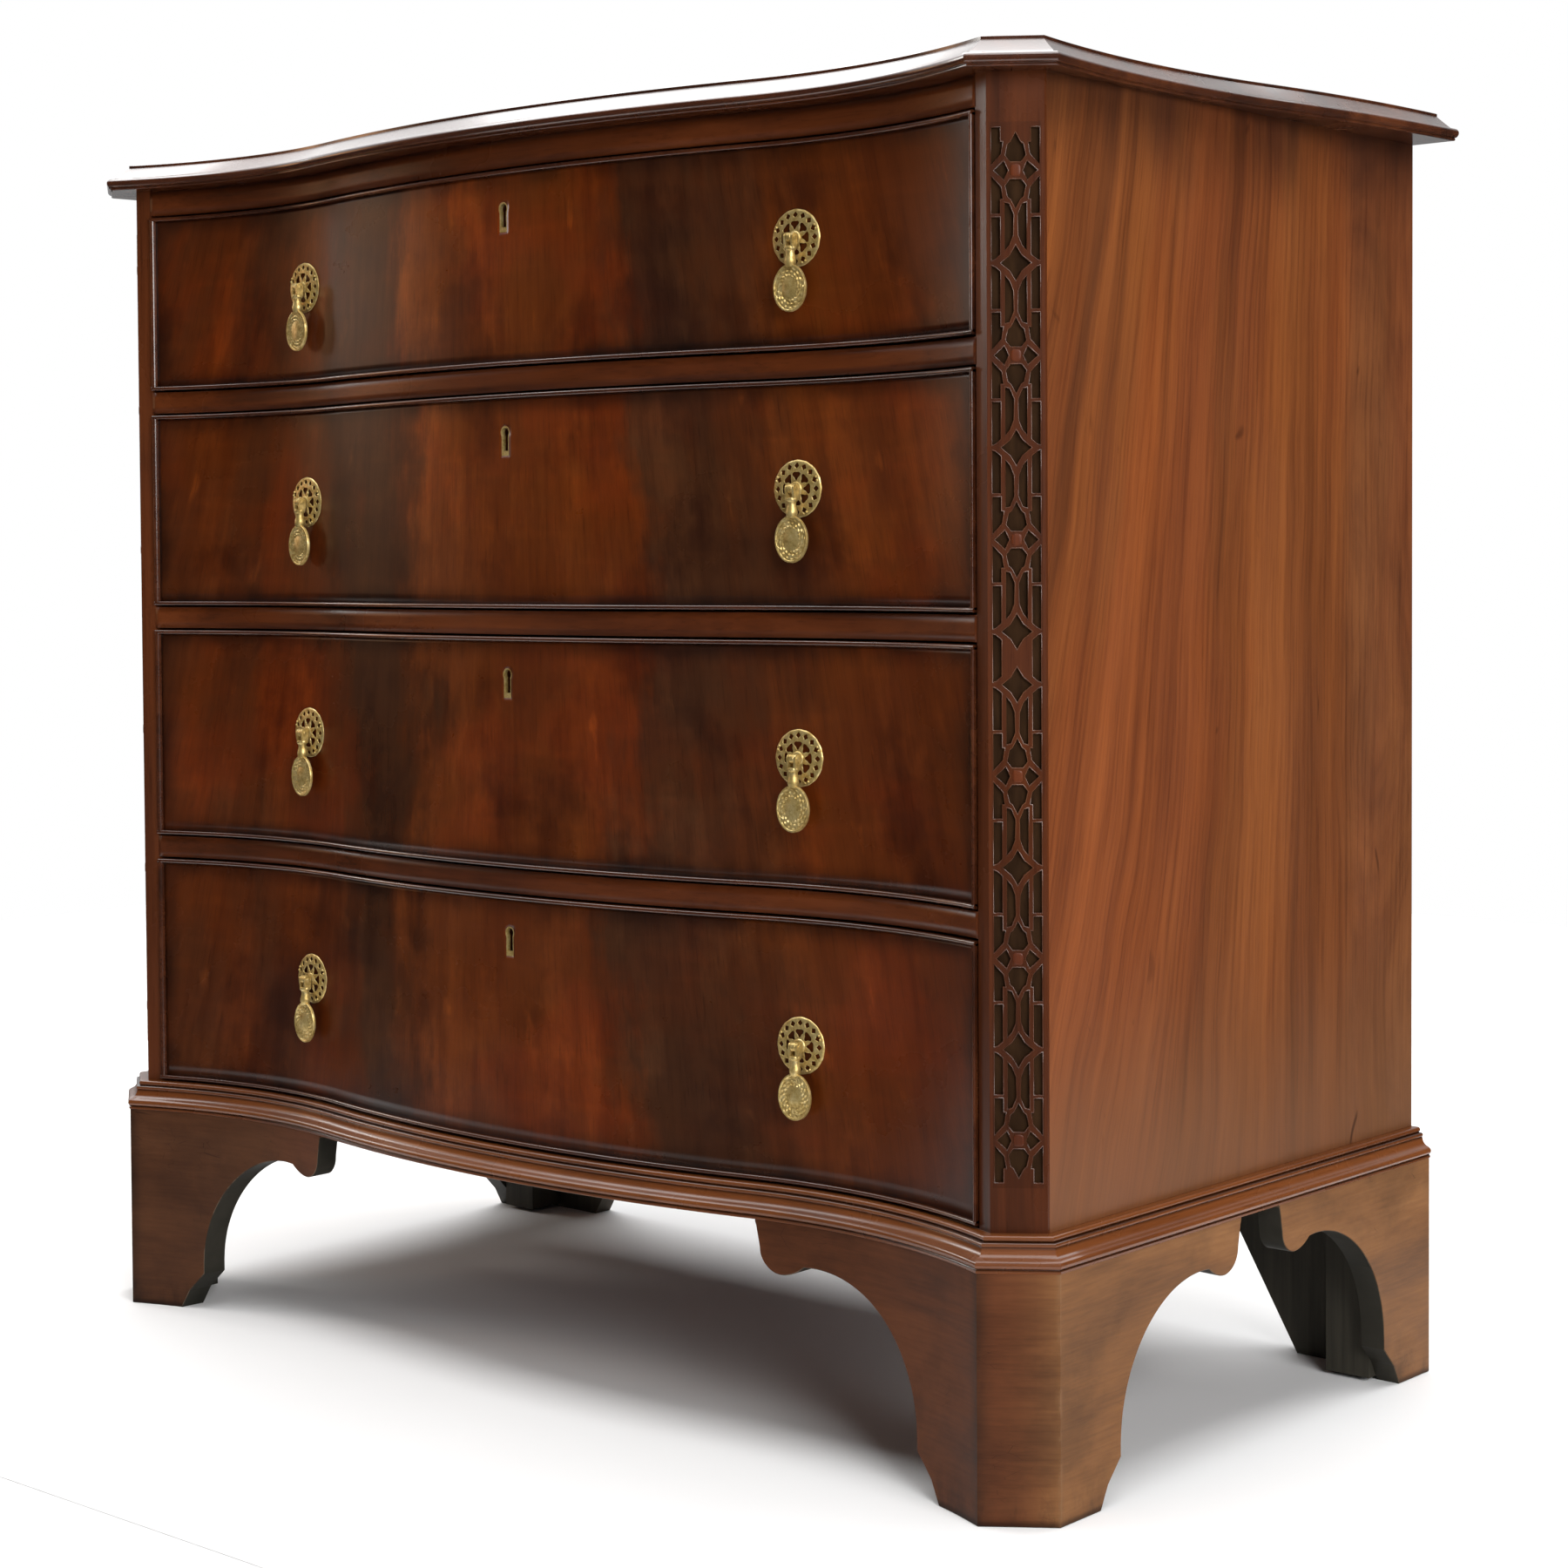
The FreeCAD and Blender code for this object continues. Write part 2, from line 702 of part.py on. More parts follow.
def make_rear_foot():
    reach = at.base_reach - at.foot_inset
    outer = HALF + reach
    inner = outer - at.foot_board
    rear = BACK - at.foot_board
    side_end = BACK - at.foot_length
    side = box("rear_foot_side", (inner, outer), (side_end, BACK), (as_size(0), at.foot_height))
    gap = board("rear_gap", bracket_gap(BACK, -1), inner - PAST, outer + PAST, "YZ_Plane")
    shaped = cut("rear_foot_side_shaped", side, [gap])
    toe = inner - at.rear_board_toe
    head = inner - at.rear_board_top
    plan = [(head, at.foot_height), (head, at.foot_height - at.rear_board_drop), (toe, as_size(0)),
            (inner, as_size(0)), (inner, at.foot_height)]
    bracket = board("rear_foot_bracket", close_up(chain(plan)), -BACK, -rear, "XZ_Plane")
    block = box("rear_foot_block", (inner - at.glue_block, inner), (rear - at.glue_block, rear),
                (at.glue_block_raise, at.foot_height))
    return compound("right_rear_foot", [shaped, bracket, block])


def top_edges(inset):
    """Plan of the top: serpentine front, canted corners, and sides that draw in and then spread."""
    corner, _ = cant_points(at.top_reach - inset)
    front_half = at.top_front_half - inset
    shoulder_y = corner[1] + (front_half - corner[0]) * at.cant_deep / at.cant_across
    waist_y = at.front_datum + at.top_waist_deep
    draw_in = at.top_front_half - at.top_waist_half
    near = waist_y - shoulder_y
    waist_radius = (near * near + draw_in * draw_in) / (draw_in * 2)
    turn_y = at.front_datum + at.top_turn_deep
    far = turn_y - waist_y
    turn_half = at.top_waist_half - inset + waist_radius - root(waist_radius * waist_radius - far * far)
    back_half = at.top_back_half - inset
    lean_x = far / waist_radius
    lean_y = root(as_size(1) - lean_x * lean_x)
    chord_x = back_half - turn_half
    chord_y = BACK - turn_y
    sag = chord_y * lean_x - chord_x * lean_y
    spread_radius = (chord_x * chord_x + chord_y * chord_y) / (sag * 2)
    shoulder, turn, rear = (front_half, shoulder_y), (turn_half, turn_y), (back_half, BACK)
    right = [
        Edge(corner, shoulder),
        Edge(shoulder, turn, waist_radius, False),
        Edge(turn, rear, spread_radius, True),
    ]
    left = [
        Edge((-edge.end[0], edge.end[1]), (-edge.start[0], edge.start[1]), edge.radius, edge.left)
        for edge in reversed(right)
    ]
    return close_up(left + front_edges(at.top_reach - inset, *corner) + right)


def edges_at(shape, height, rear):
    """Names of the edges that lie at a height, apart from the back edge."""
    names = []
    for index, edge in enumerate(shape.Edges, 1):
        box_of = edge.BoundBox
        level = max(abs(box_of.ZMin - height), abs(box_of.ZMax - height)) < NEAR
        if level and box_of.YMin < rear - PAST:
            names.append(f"Edge{index}")
    return names


def round_edges(body, base, name, height, rear, radius):
    doc.recompute()
    fillet = body.newObject("PartDesign::Fillet", name)
    fillet.Base = (base, edges_at(base.Shape, height, rear))
    bind(fillet, "Radius", radius)
    return fillet


def make_top():
    body = doc.addObject("PartDesign::Body", "top_board")
    nose_top = at.carcass_top + at.top_nose_height
    slab = add_pad(body, "top_slab", "XY_Plane", top_edges(as_size(0)), at.carcass_top, at.top_nose_height)
    upper = round_edges(body, slab, "top_nose", nose_top.number, BACK.number, at.top_nose_round)
    round_edges(body, upper, "top_under", at.carcass_top.number, BACK.number, at.top_under_round)
    fillet_edges = top_edges(at.top_fillet_inset)
    add_pad(body, "top_fillet", "XY_Plane", fillet_edges, nose_top - PAST, at.top_fillet_height + PAST)
    node("top_board", body)


def keyhole_edges(radius, centre_z):
    """Keyhole outline: a round head over a flared skirt."""
    shoulder = radius * 0.8
    neck = radius * 0.6
    foot_z = centre_z - radius * 3.6
    foot = radius * 0.82
    return [
        Edge((shoulder, centre_z - neck), (as_size(0), centre_z + radius), radius, True),
        Edge((as_size(0), centre_z + radius), (-shoulder, centre_z - neck), radius, True),
        Edge((-shoulder, centre_z - neck), (-foot, foot_z)),
        Edge((-foot, foot_z), (foot, foot_z)),
        Edge((foot, foot_z), (shoulder, centre_z - neck)),
    ]


def make_front(drawer):
    """A drawer front with its lock recess, keyhole and pull holes."""
    thick = at.bead_thick
    half = DRAWER_HALF - thick
    block = front_block(f"{drawer.name}_block", as_size(0), drawer.inside, half, drawer.low + thick,
                        drawer.high - thick)
    key_z = drawer.high - at.key_drop
    lock_half = at.lock_width / 2
    case_top = drawer.high - thick
    case = (case_top - at.lock_height, case_top + PAST)
    tools = [box(f"{drawer.name}_lock_recess", (-lock_half, lock_half),
                 (drawer.inside - at.lock_depth, drawer.inside + PAST), case)]
    liner_front = at.front_datum + at.bow_setback
    liner_back = liner_front + at.liner_depth
    liner = keyhole_edges(at.key_radius, key_z)
    tools.append(board(f"{drawer.name}_liner_seat", liner, -liner_back, -(liner_front - PAST), "XZ_Plane"))
    opening = keyhole_edges(at.key_radius - at.key_wall, key_z)
    tools.append(board(f"{drawer.name}_keyway", opening, -drawer.inside, -(liner_back - PAST), "XZ_Plane"))
    for side in (1, -1):
        hole = pull_fitting(f"{drawer.name}_pull_hole_{side}", drawer, side, pull_hole)
        tools.append(hole)
    return cut(f"{drawer.name}_front", block, tools)


def pull_fitting(name, drawer, side, source):
    """A pull piece set square to the front at its place on a drawer."""
    lean = at.hollow_across - at.pull_across
    across = at.pull_across * side
    height = (drawer.low + drawer.high) / 2 + at.pull_raise
    turn = Size(math.degrees(math.asin(lean.number / at.hollow_radius.number)) * side,
                f"asin({lean.text} / {at.hollow_radius.text}) * {side}")
    return placed(name, source, (across, hollow_y(at.pull_across, as_size(0)), height), turn)


def make_beads(drawer):
    """Cock beads: a thin strip let in round the edges of a drawer front, standing proud of it."""
    half = DRAWER_HALF
    thick, proud, behind = at.bead_thick, at.bead_proud, -at.bead_depth
    strips = []
    for place, low in (("top", drawer.high - thick), ("bottom", drawer.low)):
        strips.append(front_strip(f"{drawer.name}_bead_{place}", proud, behind, half, low, low + thick))
    inner_half = half - thick
    front_x, rear_x = hollow_y(half, proud), hollow_y(half, behind)
    plan = [(inner_half, hollow_y(inner_half, proud)), (half, front_x), (half, rear_x),
            (inner_half, hollow_y(inner_half, behind))]
    tall = (drawer.low + thick, drawer.high - thick)
    right = board(f"{drawer.name}_bead_right", close_up(chain(plan)), *tall)
    left = mirror(f"{drawer.name}_bead_left", right)
    return compound(f"{drawer.name}_cock_beads", strips + [right, left])


def make_box(drawer):
    """Drawer linings: two sides, a back and a bottom, inside the front."""
    half = DRAWER_HALF - at.lining_gap
    inner = half - at.lining_thick
    low = drawer.low - at.drawer_gap + at.runner_gap
    high = drawer.high - at.lining_drop
    deep = (drawer.inside, DRAWER_BACK)
    pieces = both_sides(f"{drawer.name}_side", (inner, half), deep, (low, high))
    back_deep = (DRAWER_BACK - at.lining_thick, DRAWER_BACK)
    floor_low = drawer.low + at.bottom_raise - at.drawer_gap
    floor_high = floor_low + at.bottom_thick
    back_tall = (floor_high, high - at.lining_back_drop)
    pieces.append(box(f"{drawer.name}_back", (-inner, inner), back_deep, back_tall))
    pieces.append(box(f"{drawer.name}_bottom", (-inner, inner), deep, (floor_low, floor_high)))
    return compound(f"{drawer.name}_drawer_box", pieces)


def make_lock(drawer):
    """Lock case with its bolt slot, and the brass liner of the keyhole."""
    lock_half = at.lock_width / 2
    top = drawer.high - at.bead_thick
    near = drawer.inside - at.lock_depth
    case = box(f"{drawer.name}_lock_case", (-lock_half, lock_half), (near, drawer.inside),
               (top - at.lock_height, top))
    slack = at.bolt_slack
    half = at.bolt_width / 2 + slack
    bolt_near = near + at.bolt_inset
    slot_deep = (bolt_near - slack, bolt_near + at.bolt_depth + slack)
    slot_tall = (top - at.bolt_length - slack, top + PAST)
    slot = box(f"{drawer.name}_bolt_slot", (-half, half), slot_deep, slot_tall)
    key_z = drawer.high - at.key_drop
    keyway = board(f"{drawer.name}_case_keyway", keyhole_edges(at.key_radius - at.key_wall * 1.5, key_z),
                   -(near + at.bolt_inset * 2), -(near - PAST), "XZ_Plane")
    liner_front = at.front_datum + at.bow_setback
    liner_back = liner_front + at.liner_depth
    face = liner_front - at.liner_proud
    glue_line = 0.02
    ring = board(f"{drawer.name}_liner_block", keyhole_edges(at.key_radius - glue_line, key_z), -liner_back,
                 -face, "XZ_Plane")
    bore = board(f"{drawer.name}_liner_bore", keyhole_edges(at.key_radius - at.key_wall, key_z),
                 -(liner_back + PAST), -(face - PAST), "XZ_Plane")
    cased = cut(f"{drawer.name}_case", case, [slot, keyway])
    liner = cut(f"{drawer.name}_liner", ring, [bore])
    return compound(f"{drawer.name}_lock", [cased, liner])


def make_bolt(drawer):
    half = at.bolt_width / 2
    top = drawer.high - at.bead_thick
    near = drawer.inside - at.lock_depth + at.bolt_inset
    return box(f"{drawer.name}_bolt", (-half, half), (near, near + at.bolt_depth),
               (top - at.bolt_length, top - at.bolt_sink))


def round_rose(ring, turn, deep):
    """A place on a ring about the middle of a rose, turned clockwise from its top."""
    angle = math.radians(turn)
    return V(ring * math.sin(angle), deep, ring * math.cos(angle))


def make_pull_sources():
    """The pull's pieces about the middle of its rose, with the front face at y = 0 and outwards -y."""
    back, out, right = V(0, 1, 0), V(0, -1, 0), V(1, 0, 0)
    nut_seat, nut_room, nut_radius, nut_thick = 11.0, 8.0, 6.0, 3.5
    shaft_radius, shaft_end, shaft_out, neck_radius, neck_length = 2.5, 4.0, 3.0, 1.75, 4.0
    hole_play, bore_play, nut_play, through = 0.2, 0.05, 0.01, 60.0
    shank = rod("shank_hole", shaft_radius + hole_play, through, back, V(0, -PAST, 0))
    nut_hole = rod("nut_hole", nut_room, through, back, V(0, nut_seat, 0))
    hole = fuse("pull_hole", [shank, nut_hole])

    plate = rod("rose_plate", at.rose_radius, at.rose_thick, out, V(0, -at.rose_stand.number, 0))
    pierce_back, pierce_length = 5.0, 10.0
    piercings = [rod("rose_bore", shaft_radius + bore_play, pierce_length, out, V(0, pierce_back, 0))]
    wedge_count, wedge_radius, wedge_ring = 9, 3.0, 10.2
    for step in range(wedge_count):
        turn = 360 / wedge_count * step
        wedge = doc.addObject("Part::Prism", f"rose_wedge_{step}")
        wedge.Polygon = 3
        wedge.Circumradius = wedge_radius
        wedge.Height = pierce_length
        inward = FreeCAD.Rotation(back, turn + 90) * FreeCAD.Rotation(V(0, 0, 1), out)
        wedge.Placement = FreeCAD.Placement(round_rose(wedge_ring, turn, pierce_back), inward)
        piercings.append(wedge)
    eyelet_count, eyelet_radius, eyelet_ring = 18, 1.15, 15.6
    for step in range(eyelet_count):
        base = round_rose(eyelet_ring, 360 / eyelet_count * step, pierce_back)
        piercings.append(rod(f"rose_eyelet_{step}", eyelet_radius, pierce_length, out, base))
    rose = cut("rose", plate, piercings)

    head_radius, head_width = 3.1, 3.6
    pin = V(0, -at.pin_stand.number, 0)
    shaft_back = nut_seat + shaft_end
    shaft = rod("post_shaft", shaft_radius, shaft_back + shaft_out, out, V(0, shaft_back, 0))
    neck = rod("post_neck", neck_radius, neck_length, out, V(0, -shaft_out, 0))
    head = rod("post_head", head_radius, head_width, right, pin - right * (head_width / 2))
    eye = rod("post_eye", at.pin_radius + at.pin_clearance, head_width * 2, right, pin - right * head_width)
    post = cut("post", fuse("post_solid", [shaft, neck, head]), [eye])
    nut = doc.addObject("Part::Prism", "post_nut_blank")
    nut.Polygon = 6
    nut.Circumradius = nut_radius
    nut.Height = nut_thick
    nut.Placement = FreeCAD.Placement(V(0, nut_seat, 0), FreeCAD.Rotation(V(0, 0, 1), back))
    nut_bore = rod("post_nut_bore", shaft_radius + nut_play, nut_thick * 3, back, V(0, nut_seat - PAST, 0))
    mount = compound("pull_mount", [rose, post, cut("post_nut", nut, [nut_bore])])

    cheek_in, cheek_thick, cheek_deep, arm_length = 2.05, 1.4, 4.4, 7.5
    bridge_drop, bridge_height, stem_radius, stem_top, stem_length = 8.0, 3.0, 2.4, 6.0, 13.0
    cheek_out = cheek_in + cheek_thick
    cheeks = []
    for side in (1, -1):
        outward = V(side, 0, 0)
        cheek = rod(f"drop_cheek_{side}", head_radius, cheek_thick, outward, pin + outward * cheek_in)
        arm = doc.addObject("Part::Box", f"drop_arm_{side}")
        arm.Length, arm.Width, arm.Height = cheek_thick, cheek_deep, arm_length
        arm.Placement.Base = pin + V(cheek_in if side > 0 else -cheek_out, -cheek_deep / 2, -arm_length)
        cheeks += [cheek, arm]
    bridge = doc.addObject("Part::Box", "drop_bridge")
    bridge.Length, bridge.Width, bridge.Height = cheek_out * 2, cheek_deep, bridge_height
    bridge.Placement.Base = pin + V(-cheek_out, -cheek_deep / 2, -bridge_drop)
    rivet = rod("drop_pin", at.pin_radius, cheek_out * 2, right, pin - right * cheek_out)
    stem = rod("drop_stem", stem_radius, stem_length, V(0, 0, -1), pin - V(0, 0, stem_top))
    pendant = doc.addObject("Part::Ellipsoid", "drop_pendant")
    bind(pendant, "Radius1", at.drop_half_height)
    bind(pendant, "Radius2", at.drop_half_width)
    bind(pendant, "Radius3", at.drop_half_thick)
    pendant.Placement.Base = pin - V(0, 0, at.drop_length.number - at.drop_half_height.number)
    drop = fuse("pull_drop", cheeks + [bridge, rivet, stem, pendant])
    return hole, mount, drop


pull_hole, pull_mount, pull_drop = make_pull_sources()


def make_pulls(drawer):
    mounts = [pull_fitting(f"{drawer.name}_mount_{side}", drawer, side, pull_mount) for side in (1, -1)]
    node(f"{drawer.name}_pull_plates", compound(f"{drawer.name}_pull_plates", mounts))
    for side, word in ((1, "right"), (-1, "left")):
        drop = pull_fitting(f"{drawer.name}_drop_{word}", drawer, side, pull_drop)
        node(f"{drawer.name}_{word}_drop", drop)


def make_drawer(drawer):
    node(f"{drawer.name}_drawer_front", make_front(drawer))
    node(f"{drawer.name}_cock_beads", make_beads(drawer))
    node(f"{drawer.name}_drawer_box", make_box(drawer))
    node(f"{drawer.name}_lock", make_lock(drawer))
    node(f"{drawer.name}_bolt", make_bolt(drawer))
    make_pulls(drawer)


def make_secretaire(drawer):
    """The writing drawer: a falling front, its fittings, the writing floor and the gallery behind."""
    axis_z = drawer.low + at.floor_height
    axis_y = drawer.inside
    swing = at.floor_height + at.swing_room
    hinge_half = at.hinge_width / 2
    leaf = at.hinge_leaf
    across = [(at.hinge_across - hinge_half, at.hinge_across + hinge_half),
              (-at.hinge_across - hinge_half, -at.hinge_across + hinge_half)]

    front = make_front(drawer)
    pockets = []
    for index, (low, high) in enumerate(across):
        room = at.knuckle_room
        slack = (low - room, high + room)
        pockets.append(box(f"fall_leaf_recess_{index}", (low, high), (axis_y - leaf, axis_y + PAST),
                           (axis_z, axis_z + at.hinge_reach)))
        pockets.append(box(f"fall_leaf_notch_{index}", slack, (axis_y - leaf - room, axis_y + PAST),
                           (drawer.low, axis_z)))
        groove = rod(f"fall_groove_{index}", at.knuckle_radius + room, slack[1] - slack[0], V(1, 0, 0),
                     V(slack[0].number, axis_y.number, axis_z.number))
        pockets.append(groove)
    leather_half = DRAWER_HALF - at.leather_margin
    leather_tall = (axis_z + at.leather_margin, drawer.high - at.lock_height - at.gallery_board)
    skin = (axis_y - at.leather_thick, axis_y)
    seat_deep = (skin[0], axis_y + PAST)
    pockets.append(box("fall_leather_seat", (-leather_half, leather_half), seat_deep, leather_tall))
    node("secretaire_fall", cut("secretaire_fall", front, pockets))
    node("fall_leather", box("fall_leather", (-leather_half, leather_half), skin, leather_tall))
    node("secretaire_cock_beads", make_beads(drawer))
    node("secretaire_lock", make_lock(drawer))
    node("secretaire_bolt", make_bolt(drawer))
    make_pulls(drawer)

    half = DRAWER_HALF - at.lining_gap
    inner = half - at.lining_thick
    low = drawer.low - at.drawer_gap + at.runner_gap
    high = drawer.high - at.lining_drop
    side_front, notch_top = axis_y + at.swing_room, axis_z + at.runner_gap
    profile = [(side_front, notch_top), (side_front, high), (DRAWER_BACK, high), (DRAWER_BACK, low),
               (axis_y + swing, low), (axis_y + swing, notch_top)]
    right = board("secretaire_side", close_up(chain(profile)), inner, half, "YZ_Plane")
    left = mirror("secretaire_side_left", right)
    floor_deep = (axis_y + swing, DRAWER_BACK - at.lining_thick)
    floor_tall = (axis_z - at.floor_thick, axis_z)
    floor_blank = box("writing_floor_blank", (-inner, inner), floor_deep, floor_tall)
    seats = []
    for index, (left_x, right_x) in enumerate(across):
        seats.append(box(f"floor_leaf_recess_{index}", (left_x, right_x),
                         (axis_y, axis_y + at.hinge_reach + swing), (axis_z - leaf, axis_z + PAST)))
    gallery_face = at.front_datum + at.gallery_front
    leather_deep = (axis_y + at.leather_margin + swing, gallery_face - at.gallery_board)
    sheet_tall = (axis_z - at.leather_thick, axis_z)
    seats.append(box("floor_leather_seat", (-leather_half, leather_half), leather_deep,
                     (sheet_tall[0], axis_z + PAST)))
    floor = cut("writing_floor", floor_blank, seats)
    back = box("secretaire_back", (-inner, inner), (DRAWER_BACK - at.lining_thick, DRAWER_BACK),
               (axis_z - at.floor_thick, high))
    node("secretaire_box", compound("secretaire_box", [right, left, floor, back]))
    node("floor_leather", box("floor_leather", (-leather_half, leather_half), leather_deep, sheet_tall))

    fixed, moving = [], []
    for index, (left_x, right_x) in enumerate(across):
        pieces = make_hinge(index, left_x, right_x, axis_y, axis_z, swing)
        fixed += pieces[0]
        moving += pieces[1]
    node("fall_hinge_leaves", compound("fall_hinge_leaves", fixed))
    node("fall_hinge_straps", compound("fall_hinge_straps", moving))
    node("quadrant_stays", make_quadrants(inner, axis_y, axis_z))
    make_gallery(inner, axis_z)


def make_hinge(index, left, right, axis_y, axis_z, swing):
    """A butt hinge at the foot of the fall: the floor's leaf and pin, and the strap on the fall."""
    along = V(1, 0, 0)
    leaf, radius = at.hinge_leaf, at.knuckle_radius
    third = (right - left) / 3
    play, room = at.knuckle_play, at.knuckle_radius + at.knuckle_play

    def barrel(name, start, length, bore):
        base = V(start.number, axis_y.number, axis_z.number)
        tube = rod(f"{name}_tube_{index}", radius, length, along, base)
        hole = rod(f"{name}_bore_{index}", bore, length + PAST * 2, along, base - along * PAST)
        return tube, hole

    floor_leaf = box(f"floor_leaf_{index}", (left, right), (axis_y, axis_y + at.hinge_reach + swing),
                     (axis_z - leaf, axis_z))
    middle_room = rod(f"floor_leaf_room_{index}", room, third + play * 2, along,
                      V((left + third - play).number, axis_y.number, axis_z.number))
    first, first_bore = barrel("knuckle_first", left, third - play, at.hinge_pin)
    last, last_bore = barrel("knuckle_last", right - third + play, third - play, at.hinge_pin)
    leaf_cut = cut(f"floor_leaf_cut_{index}", floor_leaf, [middle_room])
    fixed = cut(f"floor_hinge_{index}", fuse(f"floor_hinge_solid_{index}", [leaf_cut, first, last]),
                [first_bore, last_bore])
    pin = rod(f"hinge_pin_{index}", at.hinge_pin, right - left, along,
              V(left.number, axis_y.number, axis_z.number))

    strap_tall = (axis_z, axis_z + at.hinge_reach)
    strap = box(f"fall_strap_{index}", (left, right), (axis_y - leaf, axis_y), strap_tall)
    strap_rooms = []
    for start in (left, right - third):
        strap_rooms.append(rod(f"strap_room_{index}_{len(strap_rooms)}", room, third, along,
                               V(start.number, axis_y.number, axis_z.number)))
    strap_cut = cut(f"fall_strap_cut_{index}", strap, strap_rooms)
    running_bore = at.hinge_pin + at.hinge_clearance
    middle, middle_bore = barrel("knuckle_middle", left + third, third, running_bore)
    strap_solid = fuse(f"fall_hinge_solid_{index}", [strap_cut, middle])
    moving = cut(f"fall_hinge_{index}", strap_solid, [middle_bore])
    return [fixed, pin], [moving]


def make_quadrants(inner, axis_y, axis_z):
    """Brass quarter rings on the fall that run back beside the drawer's sides and hold it level."""
    outer, width, thick = at.quadrant_radius, at.quadrant_width, at.quadrant_thick
    inside = outer - width
    end = at.quadrant_end
    outer_end = root(outer * outer - end * end)
    inner_end = root(inside * inside - end * end)
    ring = [
        Edge((axis_y, axis_z + outer), (axis_y, axis_z + inside)),
        Edge((axis_y, axis_z + inside), (axis_y + inner_end, axis_z + end), inside, False),
        Edge((axis_y + inner_end, axis_z + end), (axis_y + outer_end, axis_z + end)),
        Edge((axis_y + outer_end, axis_z + end), (axis_y, axis_z + outer), outer, True),
    ]
    near = inner - thick - at.quadrant_gap
    arm = board("quadrant_arm", ring, near, near + thick, "YZ_Plane")
    return compound("quadrant_stays", [arm, mirror("quadrant_arm_left", arm)])


def make_gallery(inner, floor_z):
    """Pigeonholes over two small drawers, with an open bay between them."""
    board_thick = at.gallery_board
    front = at.front_datum + at.gallery_front
    deep = (front, DRAWER_BACK - at.lining_thick)
    shelf = floor_z + at.gallery_shelf
    top = floor_z + at.gallery_top
    bay = at.bay_half
    inner = inner - at.gallery_gap
    middle = (bay + inner) / 2
    half_board = board_thick / 2
    pieces = [box("gallery_top", (-inner, inner), deep, (top, top + board_thick))]
    pieces += both_sides("gallery_end", (inner - board_thick, inner), deep, (floor_z, top))
    pieces += both_sides("gallery_bay", (bay, bay + board_thick), deep, (floor_z, top))
    pieces += both_sides("gallery_shelf", (bay + board_thick, inner - board_thick), deep,
                         (shelf, shelf + board_thick))
    pieces += both_sides("gallery_upright", (middle - half_board, middle + half_board), deep,
                         (shelf + board_thick, top))
    node("pigeonholes", compound("pigeonholes", pieces))

    slack, wall, floor = at.inner_drawer_gap, at.inner_drawer_wall, at.inner_drawer_floor
    left, right = bay + board_thick + slack, inner - board_thick - slack
    low, high = floor_z + slack, shelf - slack
    behind = front + at.inner_drawer_front
    end = deep[1] - floor
    inside = (left + wall, right - wall)
    wall_tall = (low, high - floor)
    pieces = [
        box("inner_drawer_face", (left, right), (front, behind), (low, high)),
        box("inner_drawer_wall_near", (left, left + wall), (behind, end), wall_tall),
        box("inner_drawer_wall_far", (right - wall, right), (behind, end), wall_tall),
        box("inner_drawer_back", inside, (end - wall, end), wall_tall),
        box("inner_drawer_bottom", inside, (behind, end - wall), (low, low + floor)),
        make_knob((left + right) / 2, front, (low + high) / 2),
    ]
    drawer = compound("right_inner_drawer", pieces)
    node("right_inner_drawer", drawer)
    node("left_inner_drawer", mirror("left_inner_drawer", drawer))


def make_knob(across, front, height):
    """A small turned knob: a foot, a stem and a ball, standing forward of a drawer front."""
    out = V(0, -1, 0)
    radius = at.knob_radius
    foot = rod("knob_foot", radius * 0.7, radius * 0.3, out)
    stem = rod("knob_stem", radius * 0.45, radius * 1.2, out)
    ball = doc.addObject("Part::Sphere", "knob_ball")
    bind(ball, "Radius", radius)
    bind(ball, "Placement.Base.y", -radius * 1.9)
    knob = fuse("inner_knob", [foot, stem, ball])
    for axis, value in zip("xyz", (across, front, height)):
        bind(knob, f"Placement.Base.{axis}", value)
    return knob


def check_and_export():
    doc.recompute()
    for thing in doc.Objects:
        if "Invalid" in thing.State or "Error" in thing.State:
            raise RuntimeError(f"{thing.Name} failed: {thing.State}")
    os.makedirs("parts", exist_ok=True)
    for piece in nodes:
        shape = piece.Shape
        if shape.isNull() or not shape.isValid() or not shape.Solids:
            raise RuntimeError(f"{piece.Label} has no sound solid")
    for piece in nodes:
        piece.Shape.exportStep(f"parts/{piece.Label}.step")


make_carcass()
make_base()
make_top()
for name in ("second", "third", "fourth"):
    make_drawer(DRAWERS[name])
make_secretaire(DRAWERS["secretaire"])
check_and_export()
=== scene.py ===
import math

import bmesh
import bpy
import numpy as np
from mathutils import Euler, Matrix, Vector


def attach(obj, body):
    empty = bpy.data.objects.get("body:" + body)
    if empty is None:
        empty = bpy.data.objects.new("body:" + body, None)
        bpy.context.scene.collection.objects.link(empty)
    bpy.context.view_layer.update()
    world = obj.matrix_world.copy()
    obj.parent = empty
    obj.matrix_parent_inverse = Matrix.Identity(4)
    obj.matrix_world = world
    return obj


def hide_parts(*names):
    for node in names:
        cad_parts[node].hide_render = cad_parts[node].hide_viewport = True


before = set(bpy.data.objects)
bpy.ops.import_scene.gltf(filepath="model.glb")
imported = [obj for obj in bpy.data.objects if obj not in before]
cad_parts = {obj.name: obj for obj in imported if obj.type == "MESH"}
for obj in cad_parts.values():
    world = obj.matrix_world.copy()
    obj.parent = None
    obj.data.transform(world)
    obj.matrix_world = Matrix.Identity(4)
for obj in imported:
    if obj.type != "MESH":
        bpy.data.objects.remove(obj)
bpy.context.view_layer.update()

# Sizes of the chest in metres, the same as its solids have.
MM = 0.001
FRONT = -216.33 * MM
HALF = 438.25 * MM
BACK = FRONT + 456 * MM
